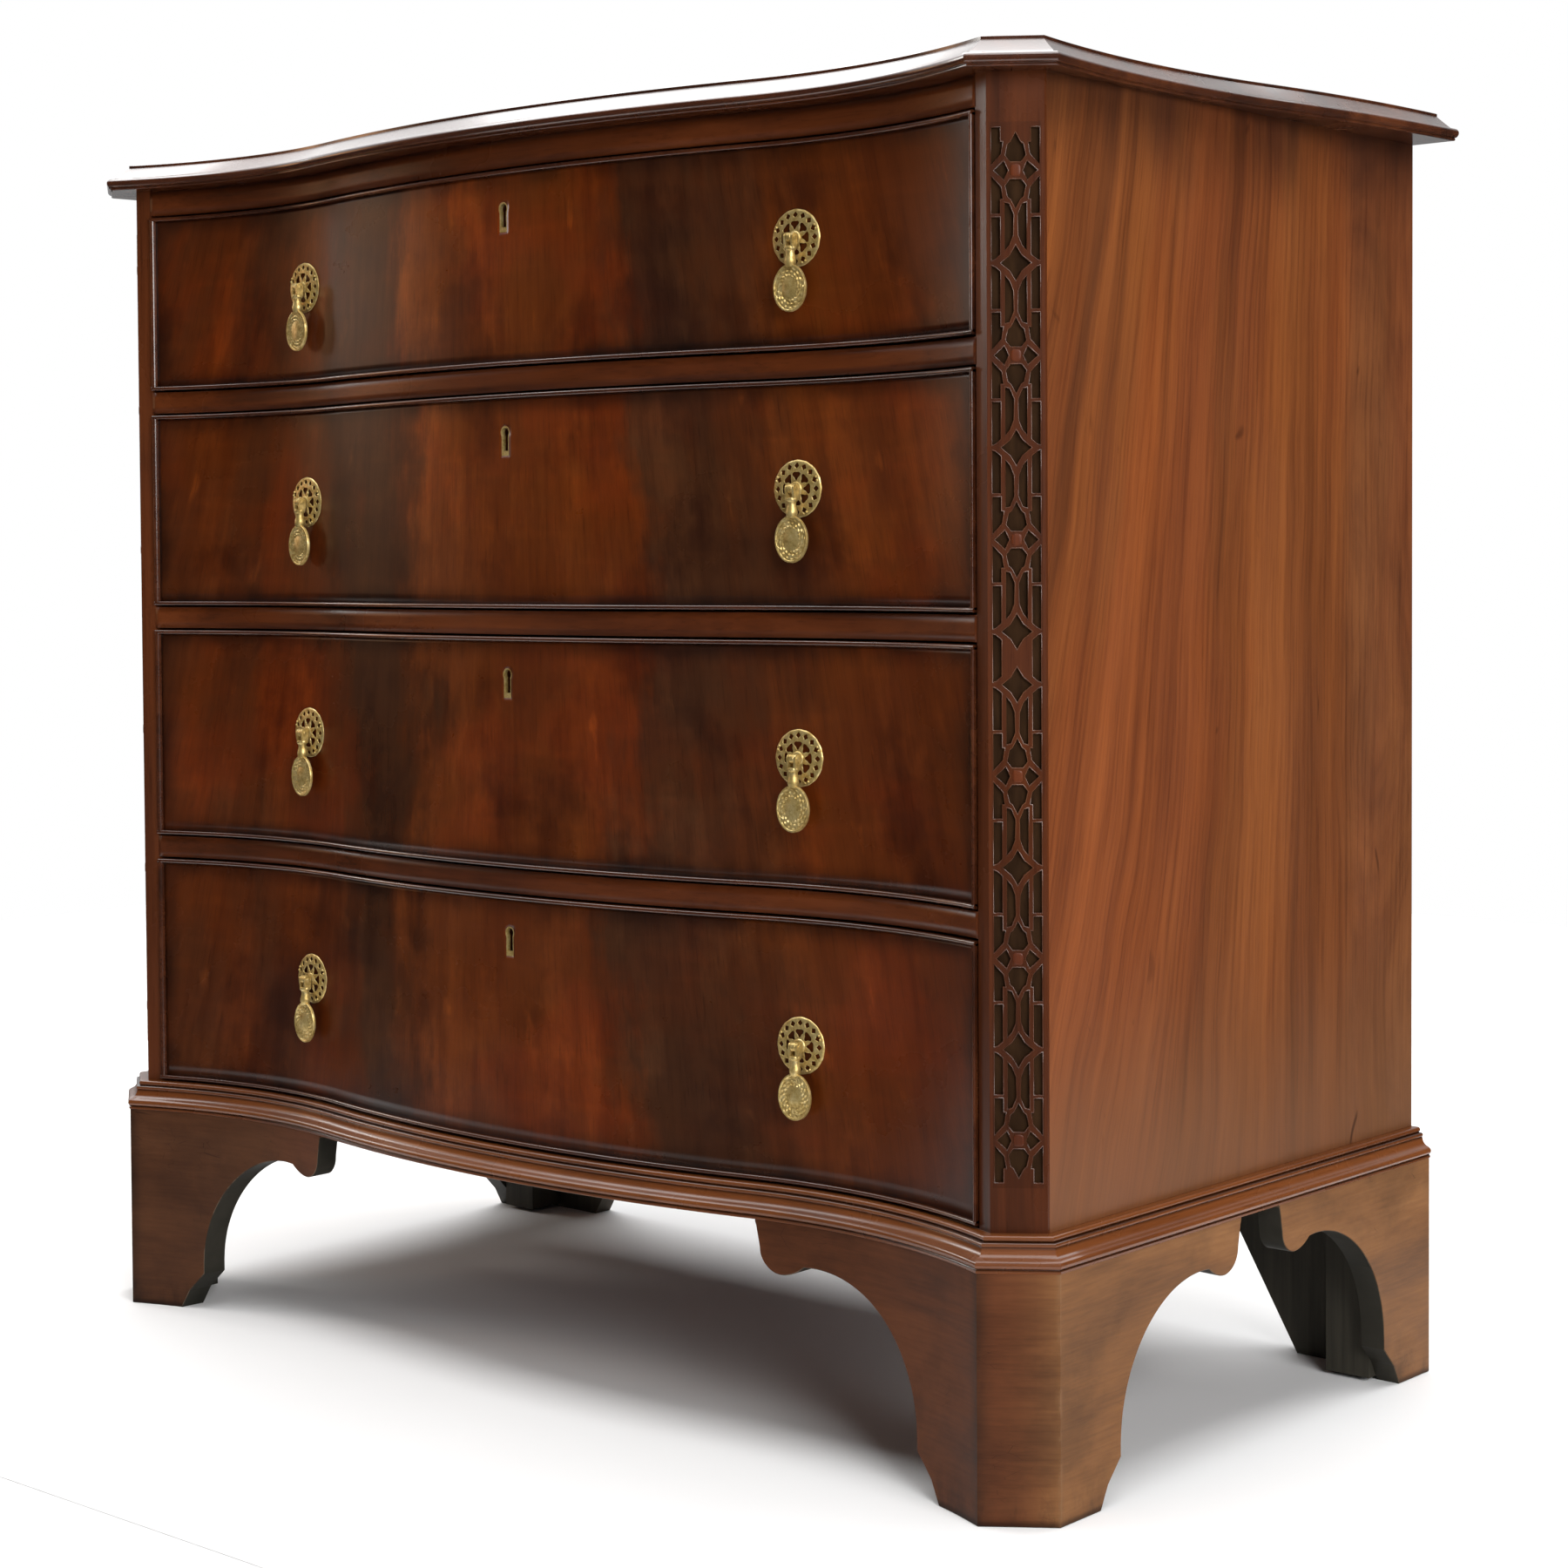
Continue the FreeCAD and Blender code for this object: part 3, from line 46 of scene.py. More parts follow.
CANT_ACROSS = 27.5 * MM
CANT_DEEP = 20.5 * MM
BOW = 1000 * MM
HOLLOW = 351 * MM
HOLLOW_X = 275 * MM
BOW_Y = FRONT + 1 * MM + BOW
HOLLOW_Y = BOW_Y - math.sqrt((BOW + HOLLOW) ** 2 - HOLLOW_X ** 2)
CORNER_X = HALF - CANT_ACROSS
OPENING = CORNER_X - 11.5 * MM
DRAWER_HALF = OPENING - 1.3 * MM
CARCASS_TOP = 860 * MM
TOP_REACH = 22 * MM
TOP_SHOULDER = 458 * MM
TOP_WAIST = 447.5 * MM
TOP_REAR = 474 * MM
WAIST_Y = FRONT + 140 * MM
SPREAD_Y = FRONT + 262 * MM
FOOT_TOP = 151.5 * MM
FOOT_REACH = 14 * MM
FOOT_BOARD = 18 * MM
GLUE_BLOCK = 34 * MM
BLOCK_LIFT = 3 * MM
BEAD = 3 * MM
BEAD_PROUD = 3.2 * MM
BEAD_SUNK = 5 * MM
FACE_PROUD = 0.3 * MM
FACE_SKIN = 0.1 * MM
KEY_DROP = 26 * MM
KEY_RADIUS = 4.5 * MM
PULL_X = 241 * MM
PULL_RISE = 4 * MM
PULL_LEAN = math.asin((HOLLOW_X - PULL_X) / HOLLOW)
FRET_MIDDLE = 515 * MM
SIDES = (("right", 1), ("left", -1))
DRAWERS = {
    "fourth": (174 * MM, 345.5 * MM),
    "third": (364.7 * MM, 522.7 * MM),
    "second": (541.9 * MM, 687.9 * MM),
    "secretaire": (707.1 * MM, 839.6 * MM),
}
RAILS = {
    "low": (347 * MM, 363.2 * MM),
    "middle": (524.2 * MM, 540.4 * MM),
    "high": (689.4 * MM, 705.6 * MM),
    "top": (841.1 * MM, 860 * MM),
}

# Sizes in millimetres of the small work: pulls, frets and the lower edge of the feet.
PIN_STAND = 7.6
ROSE_RADIUS, ROSE_THICK = 18.5, 0.9
BOSS_EDGE, RING_EDGE, RIM_EDGE = 4.6, 12.4, 17.1
FRET_FIRST, FRET_PITCH = 70, 108.5
FRET_ROSETTES = [side * (FRET_FIRST + FRET_PITCH * step) for side in (1, -1) for step in range(3)]
FRET_GROUND = (15.2, 315.3)
BOSS_RISE = ((1, -0.8), (1, 0.1), (0.94, 0.34), (0.75, 0.46), (0.4, 0.5))
TOE, KNEE, NOTCH, CROWN, BROW, LOBE, LOBE_END, TIP = 41, 48.5, 62, 152, 160, 178, 193.5, 197
ARCH_RADIUS, LOBE_RADIUS = 90, 15.5


def front_y(x, reach=0):
    """Depth of the serpentine front: a bow of one radius between two hollows, all moved out by reach."""
    across = np.abs(x)
    turn = HOLLOW_X * (BOW + reach) / (BOW + HOLLOW)
    bow = BOW_Y - np.sqrt((BOW + reach) ** 2 - np.minimum(across, turn) ** 2)
    out = np.clip(across - HOLLOW_X, turn - HOLLOW_X, HOLLOW - reach)
    hollow = HOLLOW_Y + np.sqrt((HOLLOW - reach) ** 2 - out ** 2)
    return np.where(across < turn, bow, hollow)


def on_front(x, z, reach=0):
    """Points at x and z on the serpentine front moved out by reach."""
    x, z = np.broadcast_arrays(x, z)
    return np.stack([x, front_y(x, reach), z], axis=-1)


def pairs(first, second):
    """Rows of two numbers; either may be the same for all."""
    return np.column_stack(np.broadcast_arrays(first, second))


def stations(*runs):
    """Evenly stepped runs end to end, with each place where two meet taken once."""
    return np.concatenate([np.linspace(*run)[min(number, 1):] for number, run in enumerate(runs)])


def unit(rows):
    """Directions of length one."""
    return rows / np.linalg.norm(rows, axis=-1, keepdims=True)


def full_turn(count):
    """Evenly stepped angles once round."""
    return np.linspace(0, 2 * np.pi, count, endpoint=False)


def cant_ends(reach):
    """Ends of the canted corner moved out by reach: where its line meets the hollow, and the side."""
    span = math.hypot(CANT_ACROSS, CANT_DEEP)
    ax, ay = CANT_ACROSS / span, CANT_DEEP / span
    fx, fy = CORNER_X + ay * reach, float(front_y(CORNER_X)) - ax * reach
    ox, oy = fx - HOLLOW_X, fy - HOLLOW_Y
    ahead = ox * ax + oy * ay
    step = math.sqrt(ahead ** 2 - ox ** 2 - oy ** 2 + (HOLLOW - reach) ** 2) - ahead
    side = (HALF + reach - fx) / ax
    return np.array([fx + ax * step, fy + ay * step]), np.array([HALF + reach, fy + ay * side])


def carcass_path(reach):
    """Right half of the carcass plan moved out by reach, from the middle of the front to the back."""
    corner, shoulder = cant_ends(reach)
    x = np.linspace(0, corner[0], 110)
    cant = np.linspace(corner, shoulder, 5)[1:-1]
    side = np.linspace(shoulder, (shoulder[0], BACK), 16)
    return np.vstack([pairs(x, front_y(x, reach)), cant, side])


def top_path(inset):
    """Right half of the top's plan: the front, the cant, and a side that draws in and then spreads."""
    corner, _ = cant_ends(TOP_REACH - inset)
    x = np.linspace(0, corner[0], 120)
    half, waist = TOP_SHOULDER - inset, TOP_WAIST - inset
    shoulder = (half, corner[1] + (half - corner[0]) * CANT_DEEP / CANT_ACROSS)
    cant = np.linspace(corner, shoulder, 5)[1:-1]
    draw = half - waist
    radius = ((WAIST_Y - shoulder[1]) ** 2 + draw ** 2) / (2 * draw)
    near = np.linspace(shoulder[1], SPREAD_Y, 44)
    near_x = waist + radius - np.sqrt(radius ** 2 - (near - WAIST_Y) ** 2)
    lean = (SPREAD_Y - WAIST_Y) / radius
    level = math.sqrt(1 - lean ** 2)
    chord = np.array([TOP_REAR - inset - near_x[-1], BACK - SPREAD_Y])
    spread = (chord @ chord) / (2 * (chord[1] * lean - chord[0] * level))
    centre = (near_x[-1] - spread * level, SPREAD_Y + spread * lean)
    far = np.linspace(SPREAD_Y, BACK, 36)[1:]
    far_x = centre[0] + np.sqrt(spread ** 2 - (far - centre[1]) ** 2)
    return np.vstack([pairs(x, front_y(x, TOP_REACH - inset)), cant, pairs(near_x, near), pairs(far_x, far)])


def both_halves(path):
    """The whole path from the left back round the front to the right back."""
    return np.vstack([path[:0:-1] * np.array([-1, 1]), path])


def quads(rows, columns, wrap_rows=False, wrap_columns=False):
    """Faces of a grid of points, row by row, joined across its ends where it wraps."""
    row = np.arange(rows if wrap_rows else rows - 1)
    column = np.arange(columns if wrap_columns else columns - 1)
    row, column = np.meshgrid(row, column, indexing="ij")
    here, ahead = row * columns, (row + 1) % rows * columns
    after = (column + 1) % columns
    return np.stack([here + column, here + after, ahead + after, ahead + column], axis=-1).reshape(-1, 4)


def turned(profile, axis, base, count):
    """A profile of (radius, along) millimetres turned about an axis through base, as closed loops."""
    turn = full_turn(count)
    side, up, out = {"x": (1, 2, 0), "y": (0, 2, 1), "z": (0, 1, 2)}[axis]
    loops = np.zeros((len(profile), count, 3))
    radius, along = np.asarray(profile).T[:, :, None]
    loops[..., side] = radius * np.cos(turn)
    loops[..., up] = radius * np.sin(turn)
    loops[..., out] = along
    return (loops + np.asarray(base)) * MM


class Shape:
    """Points and faces gathered from several surfaces into one piece."""

    def __init__(self):
        """Empty lists, and the count of points so far, by which later faces are numbered."""
        self.points = []
        self.faces = []
        self.count = 0

    def add(self, points, faces, flip=False):
        """Points and the faces between them."""
        points = np.asarray(points, dtype=float).reshape(-1, 3)
        faces = np.asarray(faces) + self.count
        self.points.append(points)
        self.faces.append(faces[:, ::-1] if flip else faces)
        self.count += len(points)
        return self

    def grid(self, points, wrap_rows=False, wrap_columns=False, flip=False):
        """A grid of rows and columns of points."""
        return self.add(points, quads(points.shape[0], points.shape[1], wrap_rows, wrap_columns), flip)

    def tube(self, points, flip=False):
        """A closed section in each column, carried along the columns and closed at both ends."""
        self.grid(points, wrap_rows=True, flip=flip)
        loop = np.arange(points.shape[0])[None]
        self.add(points[:, 0], loop, flip)
        return self.add(points[:, -1], loop[:, ::-1], flip)

    def cap(self, loop, tip, flip=False):
        """A fan of triangles from a closed loop to a tip."""
        step = np.arange(len(loop))
        fan = np.stack([step, np.roll(step, -1), np.full(len(loop), len(loop))], axis=-1)
        return self.add(np.vstack([loop, [tip]]), fan, flip)

    def shell(self, loops, first, last, flip=False):
        """Closed loops from one pole to another, with a fan of triangles at each pole."""
        self.grid(loops, wrap_columns=True, flip=flip)
        return self.cap(loops[0], first, not flip).cap(loops[-1], last, flip)

    def turning(self, profile, axis, base, count, poles, flip=False):
        """A turned profile, closed at two poles given as distances in millimetres along the axis."""
        out = np.array([letter == axis for letter in "xyz"], dtype=float)
        first, last = ((np.asarray(base) + out * along) * MM for along in poles)
        return self.shell(turned(profile, axis, base, count), first, last, flip)

    def block(self, low, high):
        """A straight block between two corners."""
        x, y, z = np.meshgrid(*zip(low, high), indexing="ij")
        corners = np.stack([x, y, z], axis=-1).reshape(-1, 3)
        sides = [(0, 1, 3, 2), (4, 6, 7, 5), (0, 4, 5, 1), (2, 3, 7, 6), (0, 2, 6, 4), (1, 5, 7, 3)]
        return self.add(corners, sides)

    def join(self, other):
        """Another shape's points and faces taken into this one."""
        self.faces += [faces + self.count for faces in other.faces]
        self.points += other.points
        self.count += other.count

    def on_side(self, sign):
        """The shape as made for the right, or mirrored for the left."""
        if sign > 0:
            return self
        other = Shape()
        other.points = [points * np.array([-1, 1, 1]) for points in self.points]
        other.faces = [faces[:, ::-1] for faces in self.faces]
        other.count = self.count
        return other

    def place(self, turn, shift):
        """Every point turned about the upright axis and then moved."""
        c, s = math.cos(turn), math.sin(turn)
        spin = np.array([[c, s, 0], [-s, c, 0], [0, 0, 1]])
        self.points = [points @ spin + np.asarray(shift) for points in self.points]
        return self

    def piece(self, name, material, body="carcass", slot="carcass_mahogany", angle=35, replaces=(), skin=0):
        """An object of this shape, welded and smooth up to an angle, that rides a body."""
        mesh = bpy.data.meshes.new(name)
        faces = [face for block in self.faces for face in block.tolist()]
        mesh.from_pydata(np.vstack(self.points).tolist(), [], faces)
        welded = bmesh.new()
        welded.from_mesh(mesh)
        bmesh.ops.remove_doubles(welded, verts=welded.verts, dist=0.002 * MM)
        welded.to_mesh(mesh)
        welded.free()
        mesh.shade_smooth()
        mesh.set_sharp_from_angle(angle=math.radians(angle))
        obj = add_object(name, mesh)
        mesh.materials.append(material)
        if skin:
            solid = obj.modifiers.new("skin", "SOLIDIFY")
            solid.thickness = skin
            solid.offset = -1
        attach(obj, body)
        if replaces:
            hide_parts(*replaces)
        return obj


def add_object(name, data):
    """A new object in the scene."""
    obj = bpy.data.objects.new(name, data)
    bpy.context.scene.collection.objects.link(obj)
    return obj


def paint(obj, name, values):
    """A number at each point of a piece, for its material to read."""
    layer = obj.data.attributes.new(name, "FLOAT", "POINT")
    layer.data.foreach_set("value", np.asarray(values, dtype=np.float32))


def points_of(obj):
    """The points of a piece as rows of x, y and z."""
    points = np.empty(len(obj.data.vertices) * 3, dtype=np.float32)
    obj.data.vertices.foreach_get("co", points)
    return points.reshape(-1, 3)


class Nodes:
    """The nodes of a material or of the room."""

    def __init__(self, tree):
        """The tree that new nodes go into."""
        self.tree = tree

    def add(self, kind, inputs=None, **settings):
        """A new node with its settings made and its inputs fed."""
        node = self.tree.nodes.new("ShaderNode" + kind)
        for name, value in settings.items():
            setattr(node, name, value)
        for socket, value in (inputs or {}).items():
            self.feed(node.inputs[socket], value)
        return node

    def feed(self, socket, value):
        """A socket linked to another node's output, or set to a value."""
        if isinstance(value, bpy.types.NodeSocket):
            self.tree.links.new(value, socket)
        elif isinstance(value, tuple) and len(value) == 3 and socket.type == "RGBA":
            socket.default_value = (*value, 1)
        else:
            socket.default_value = value

    def maths(self, operation, a, b=0, c=0):
        """One sum of up to three numbers."""
        return self.add("Math", {0: a, 1: b, 2: c}, operation=operation).outputs[0]

    def times(self, a, b):
        """One number times another."""
        return self.maths("MULTIPLY", a, b)

    def scaled(self, value, by, plus):
        """A number times another, plus a third."""
        return self.maths("MULTIPLY_ADD", value, by, plus)

    def span(self, value, low, high, to_low=0, to_high=1, soft=True):
        """The value spread from one span to another."""
        kind = "SMOOTHSTEP" if soft else "LINEAR"
        inputs = {"Value": value, "From Min": low, "From Max": high, "To Min": to_low, "To Max": to_high}
        return self.add("MapRange", inputs, interpolation_type=kind).outputs[0]

    def mix(self, factor, a, b, blend="MIX"):
        """Two colours blended by a factor."""
        node = self.add("Mix", data_type="RGBA", blend_type=blend)
        for socket, value in ((node.inputs[0], factor), (node.inputs[6], a), (node.inputs[7], b)):
            self.feed(socket, value)
        return node.outputs[2]


class Finish(Nodes):
    """A material and the nodes that make its pattern."""

    def __init__(self, name, **sockets):
        """A new material, with the shader's plain values set by the names of their sockets."""
        self.material = bpy.data.materials.new(name)
        self.material.use_nodes = True
        super().__init__(self.material.node_tree)
        self.shader = self.tree.nodes["Principled BSDF"]
        self.position = self.add("TexCoord").outputs["Object"]
        for socket, value in sockets.items():
            self.shader.inputs[socket.replace("_", " ")].default_value = value

    def axes(self):
        """The position's x, y and z."""
        return self.add("SeparateXYZ", {0: self.position}).outputs

    def join(self, x, y, z):
        """A position made of x, y and z."""
        return self.add("CombineXYZ", {0: x, 1: y, 2: z}).outputs[0]

    def attribute(self, name):
        """A number that was painted on the piece's points."""
        return self.add("Attribute", attribute_name=name).outputs["Fac"]

    def stretch(self, scale, source=None, turn=(0, 0, 0), shift=(0, 0, 0)):
        """A source of positions, or the piece's own, scaled, turned and moved."""
        scale = scale if isinstance(scale, tuple) else (scale, scale, scale)
        inputs = {"Vector": source or self.position, "Scale": scale, "Rotation": turn, "Location": shift}
        return self.add("Mapping", inputs).outputs["Vector"]

    def noise(self, scale, source=None, detail=4, rough=0.55, distort=0, **moved):
        """Noise with so many cells to the metre along each axis."""
        inputs = {"Vector": self.stretch(scale, source, **moved), "Scale": 1, "Detail": detail,
                  "Roughness": rough, "Distortion": distort}
        return self.add("TexNoise", inputs).outputs["Fac"]

    def ramp(self, value, *stops):
        """A run of colours, each at its place between 0 and 1."""
        node = self.add("ValToRGB", {"Fac": value})
        elements = node.color_ramp.elements
        while len(elements) < len(stops):
            elements.new(0.5)
        for element, (place, colour) in zip(elements, stops):
            element.position = place
            element.color = (*colour, 1)
        return node.outputs["Color"]

    def shade(self, factor, colour, tint):
        """The colour turned towards itself times a tint, by a factor."""
        return self.mix(factor, colour, self.mix(1, colour, tint, "MULTIPLY"))

    def stain(self, colour, value, low, high, most, tint):
        """The colour tinted where a value rises from low to high, at most so far."""
        return self.shade(self.span(value, low, high, 0, most), colour, tint)

    def cloud(self, colour, cells, span, tint, *source, **settings):
        """The colour tinted by noise that nothing else reads."""
        return self.stain(colour, self.noise(cells, *source, **settings), *span, tint)

    def made(self, colour, height, strength, distance, roughness=None):
        """The material, with its colour, bump and roughness fed to the shader."""
        self.feed(self.shader.inputs["Base Color"], colour)
        bump = self.add("Bump", {"Height": height, "Strength": strength, "Distance": distance})
        self.feed(self.shader.inputs["Normal"], bump.outputs["Normal"])
        if roughness is not None:
            self.feed(self.shader.inputs["Roughness"], roughness)
        return self.material


def flame_mahogany():
    """Veneer with a warm plume between smoky bands, a painted sheen on the plume of the upper drawers, and
    streaks that fan out downwards.
    """
    f = Finish("flame_mahogany", Specular_IOR_Level=0.22)
    x, y, z = f.axes()
    fan = f.join(f.maths("DIVIDE", x, f.scaled(z, -0.62, 1.3)), y, z)
    sway = f.scaled(f.noise((3.2, 0, 3), detail=3, rough=0.5), 0.2, -0.1)
    wave = f.scaled(f.noise((15, 0, 8), fan, 6, 0.62), 0.17, -0.085)
    ragged = f.scaled(f.noise((60, 0, 14), fan, 5, 0.65), 0.06, -0.03)
    across = f.maths("ADD", f.maths("ADD", x, sway), f.maths("ADD", wave, ragged))
    place = f.span(across, -0.42, 0.42, soft=False)
    dark, dusk, mid = (0.045, 0.0148, 0.0052), (0.058, 0.0146, 0.0036), (0.082, 0.0162, 0.0021)
    warm, pale = (0.096, 0.0208, 0.0028), (0.116, 0.0268, 0.0046)
    figure = f.ramp(
        place, (0.02, dusk), (0.08, mid), (0.14, dusk), (0.19, mid), (0.235, mid), (0.275, dusk),
        (0.3, dark), (0.345, dark), (0.37, dusk), (0.4, pale), (0.44, warm), (0.49, mid), (0.53, warm),
        (0.575, warm), (0.61, mid), (0.65, dark), (0.71, dark), (0.76, dusk), (0.81, warm), (0.88, mid),
        (0.94, mid), (0.985, dusk))
    # Blotches, streaks, blush, glow and flecks: cells, shift, detail, roughness, span with its most, tint.
    clouds = (
        ((10, 0, 9), (1, 0, 2), 6, 0.6, (0.48, 0.66, 0.95), (0.54, 0.5, 0.62)),
        ((85, 0, 5), (0, 0, 0), 6, 0.72, (0.4, 0.68, 0.45), (0.52, 0.44, 0.46)),
        ((6, 0, 8), (2, 0, 5), 5, 0.6, (0.47, 0.64, 0.9), (1.3, 1.02, 0.85)),
        ((17, 0, 7), (3, 0, 1), 6, 0.65, (0.48, 0.68, 0.9), (1.55, 1.6, 1.5)),
        ((42, 0, 18), (5, 0, 4), 4, 0.6, (0.62, 0.74, 0.8), (1.7, 1.75, 1.5)),
    )
    for cells, shift, detail, rough, span, tint in clouds:
        figure = f.cloud(figure, cells, span, tint, fan, detail, rough, shift=shift)
    # Painted sheen: the plume is lightened and greyed on the upper drawers only, rising with height from 0.5
    # m to 0.8 m.
    plume = f.times(f.span(across, -0.16, -0.09), f.span(across, 0.07, -0.05))
    figure = f.shade(f.times(plume, f.span(z, 0.5, 0.8, 0, 0.8)), figure, (1.5, 1.62, 1.85))
    ripple_span = (0.5, 0.72, 0.25)
    figure = f.cloud(figure, (9, 0, 90), ripple_span, (1.4, 1.4, 1.3), detail=3, rough=0.5, turn=(0, 0.08, 0))
    pores = f.noise((900, 0, 34), fan, 2)
    figure = f.stain(figure, pores, 0.55, 0.7, 0.5, (0.48, 0.45, 0.5))
    # Darker towards the edges of the face, within 16 mm, broken into patches.
    dark_patches = f.span(f.noise(30), 0.3, 0.65, 0.4, 1)
    edge = f.times(f.span(f.attribute("rim"), 0, 1, 0.85, 0), dark_patches)
    figure = f.shade(edge, figure, (0.3, 0.36, 0.6))
    wear = f.noise((7, 7, 10), detail=6)
    return f.made(figure, pores, 0.06, 0.0006, f.span(wear, 0.3, 0.7, 0.25, 0.36))


def straight_mahogany(name, deep, mid, light, turn, gloss=0.3, shine=0.25, polish=0):
    """Straight-grained mahogany: bands, streaks and pores, turned one way or along a painted run."""
    f = Finish(name, Specular_IOR_Level=shine, Coat_Weight=polish, Coat_Roughness=0.16)
    if turn:
        grain = f.stretch(1, turn=turn)
    else:
        grain = f.join(f.axes()[2], 0, f.attribute("run"))
    band = f.noise((10, 10, 0.8), grain, rough=0.5, distort=0.8)
    streak = f.noise((60, 60, 2.6), grain, 5, 0.65)
    pores = f.noise((650, 650, 26), grain, 2)
    tone = f.scaled(streak, 0.55, f.times(band, 0.55))
    base = f.ramp(tone, (0.38, deep), (0.53, mid), (0.68, light))
    # On the base moulding: painted shade along its grooves, with dirt in them.
    if not turn:
        base = f.shade(f.attribute("grime_and_shade"), base, (0.2, 0.2, 0.25))
    base = f.stain(base, pores, 0.56, 0.7, 0.45, (0.5, 0.45, 0.45))
    wear = f.noise(6, detail=5, rough=0.6)
    base = f.stain(base, wear, 0.5, 0.72, 0.6, (0.5, 0.48, 0.5))
    return f.made(base, pores, 0.06, 0.0006, f.span(wear, 0.3, 0.7, gloss - 0.05, gloss + 0.09))


def side_mahogany():
    """The side boards: soft stripes that lean forward, fine fibres, a sooty band under the top deepened by
    painted shadow of its overhang, a painted reflection of the floor low down, small knots.
    """
    f = Finish("side_mahogany", Specular_IOR_Level=0.25)
    x, y, z = f.axes()
    lean = f.times(f.span(y, -0.2, 0.16, 0.2, 0), f.maths("ADD", z, -0.5))
    bend = f.scaled(f.noise((0, 3, 1.6), detail=3), 0.07, -0.035)
    plane = f.join(x, f.maths("ADD", f.maths("SUBTRACT", y, lean), bend), z)
    band = f.noise((0, 26, 1.5), plane, distort=0.4)
    streak = f.noise((0, 85, 3.2), plane, 6, 0.65)
    tone = f.scaled(streak, 0.28, f.scaled(band, 0.66, 0.07))
    rear = f.span(y, 0.135, 0.165)
    curl = f.scaled(f.noise((0, 12, 5), detail=5, rough=0.6, distort=2.2), 0.5, 0.28)
    tone = f.scaled(rear, f.maths("SUBTRACT", curl, tone), tone)
    base = f.ramp(tone, (0.38, (0.086, 0.0255, 0.0076)), (0.49, (0.142, 0.0412, 0.0106)),
                  (0.57, (0.176, 0.0522, 0.0128)), (0.7, (0.232, 0.0705, 0.0165)))
    base = f.shade(rear, base, (0.95, 1.08, 1.35))
    seam = f.maths("ABSOLUTE", f.maths("ADD", y, -0.15))
    base = f.shade(f.span(seam, 0, 0.0014, 0.45, 0), base, (0.5, 0.45, 0.45))
    fibre_span, blush_span, knot_span = (0.42, 0.68, 0.75), (0.42, 0.62, 1), (0.7, 0.78, 0.8)
    base = f.cloud(base, (0, 330, 6), fibre_span, (0.66, 0.6, 0.62), plane, 5, 0.65)
    base = f.cloud(base, (0, 7, 1.5), blush_span, (1.02, 0.9, 0.9), plane, shift=(0, 2, 0))
    pores = f.noise((0, 700, 24), plane, 2)
    base = f.stain(base, pores, 0.55, 0.7, 0.4, (0.55, 0.5, 0.5))
    dark_patches = f.noise((14, 14, 5), detail=5)
    # Darker under the top: a sooty band and the painted shadow of the top's overhang, its lower edge broken
    # by noise.
    base = f.stain(base, f.scaled(dark_patches, 0.12, z), 0.85, 0.935, 0.95, (0.3, 0.3, 0.38))
    # Painted reflection of the pale floor: the lower part of the side mixed towards a paler, greyer brown.
    base = f.mix(f.times(f.span(z, 0.34, 0.17), 0.5), base, (0.15, 0.072, 0.033))
    base = f.cloud(base, (0, 26, 13), knot_span, (0.3, 0.26, 0.26), detail=2, distort=1.5)
    return f.made(base, pores, 0.06, 0.0006, f.span(dark_patches, 0.3, 0.7, 0.36, 0.5))


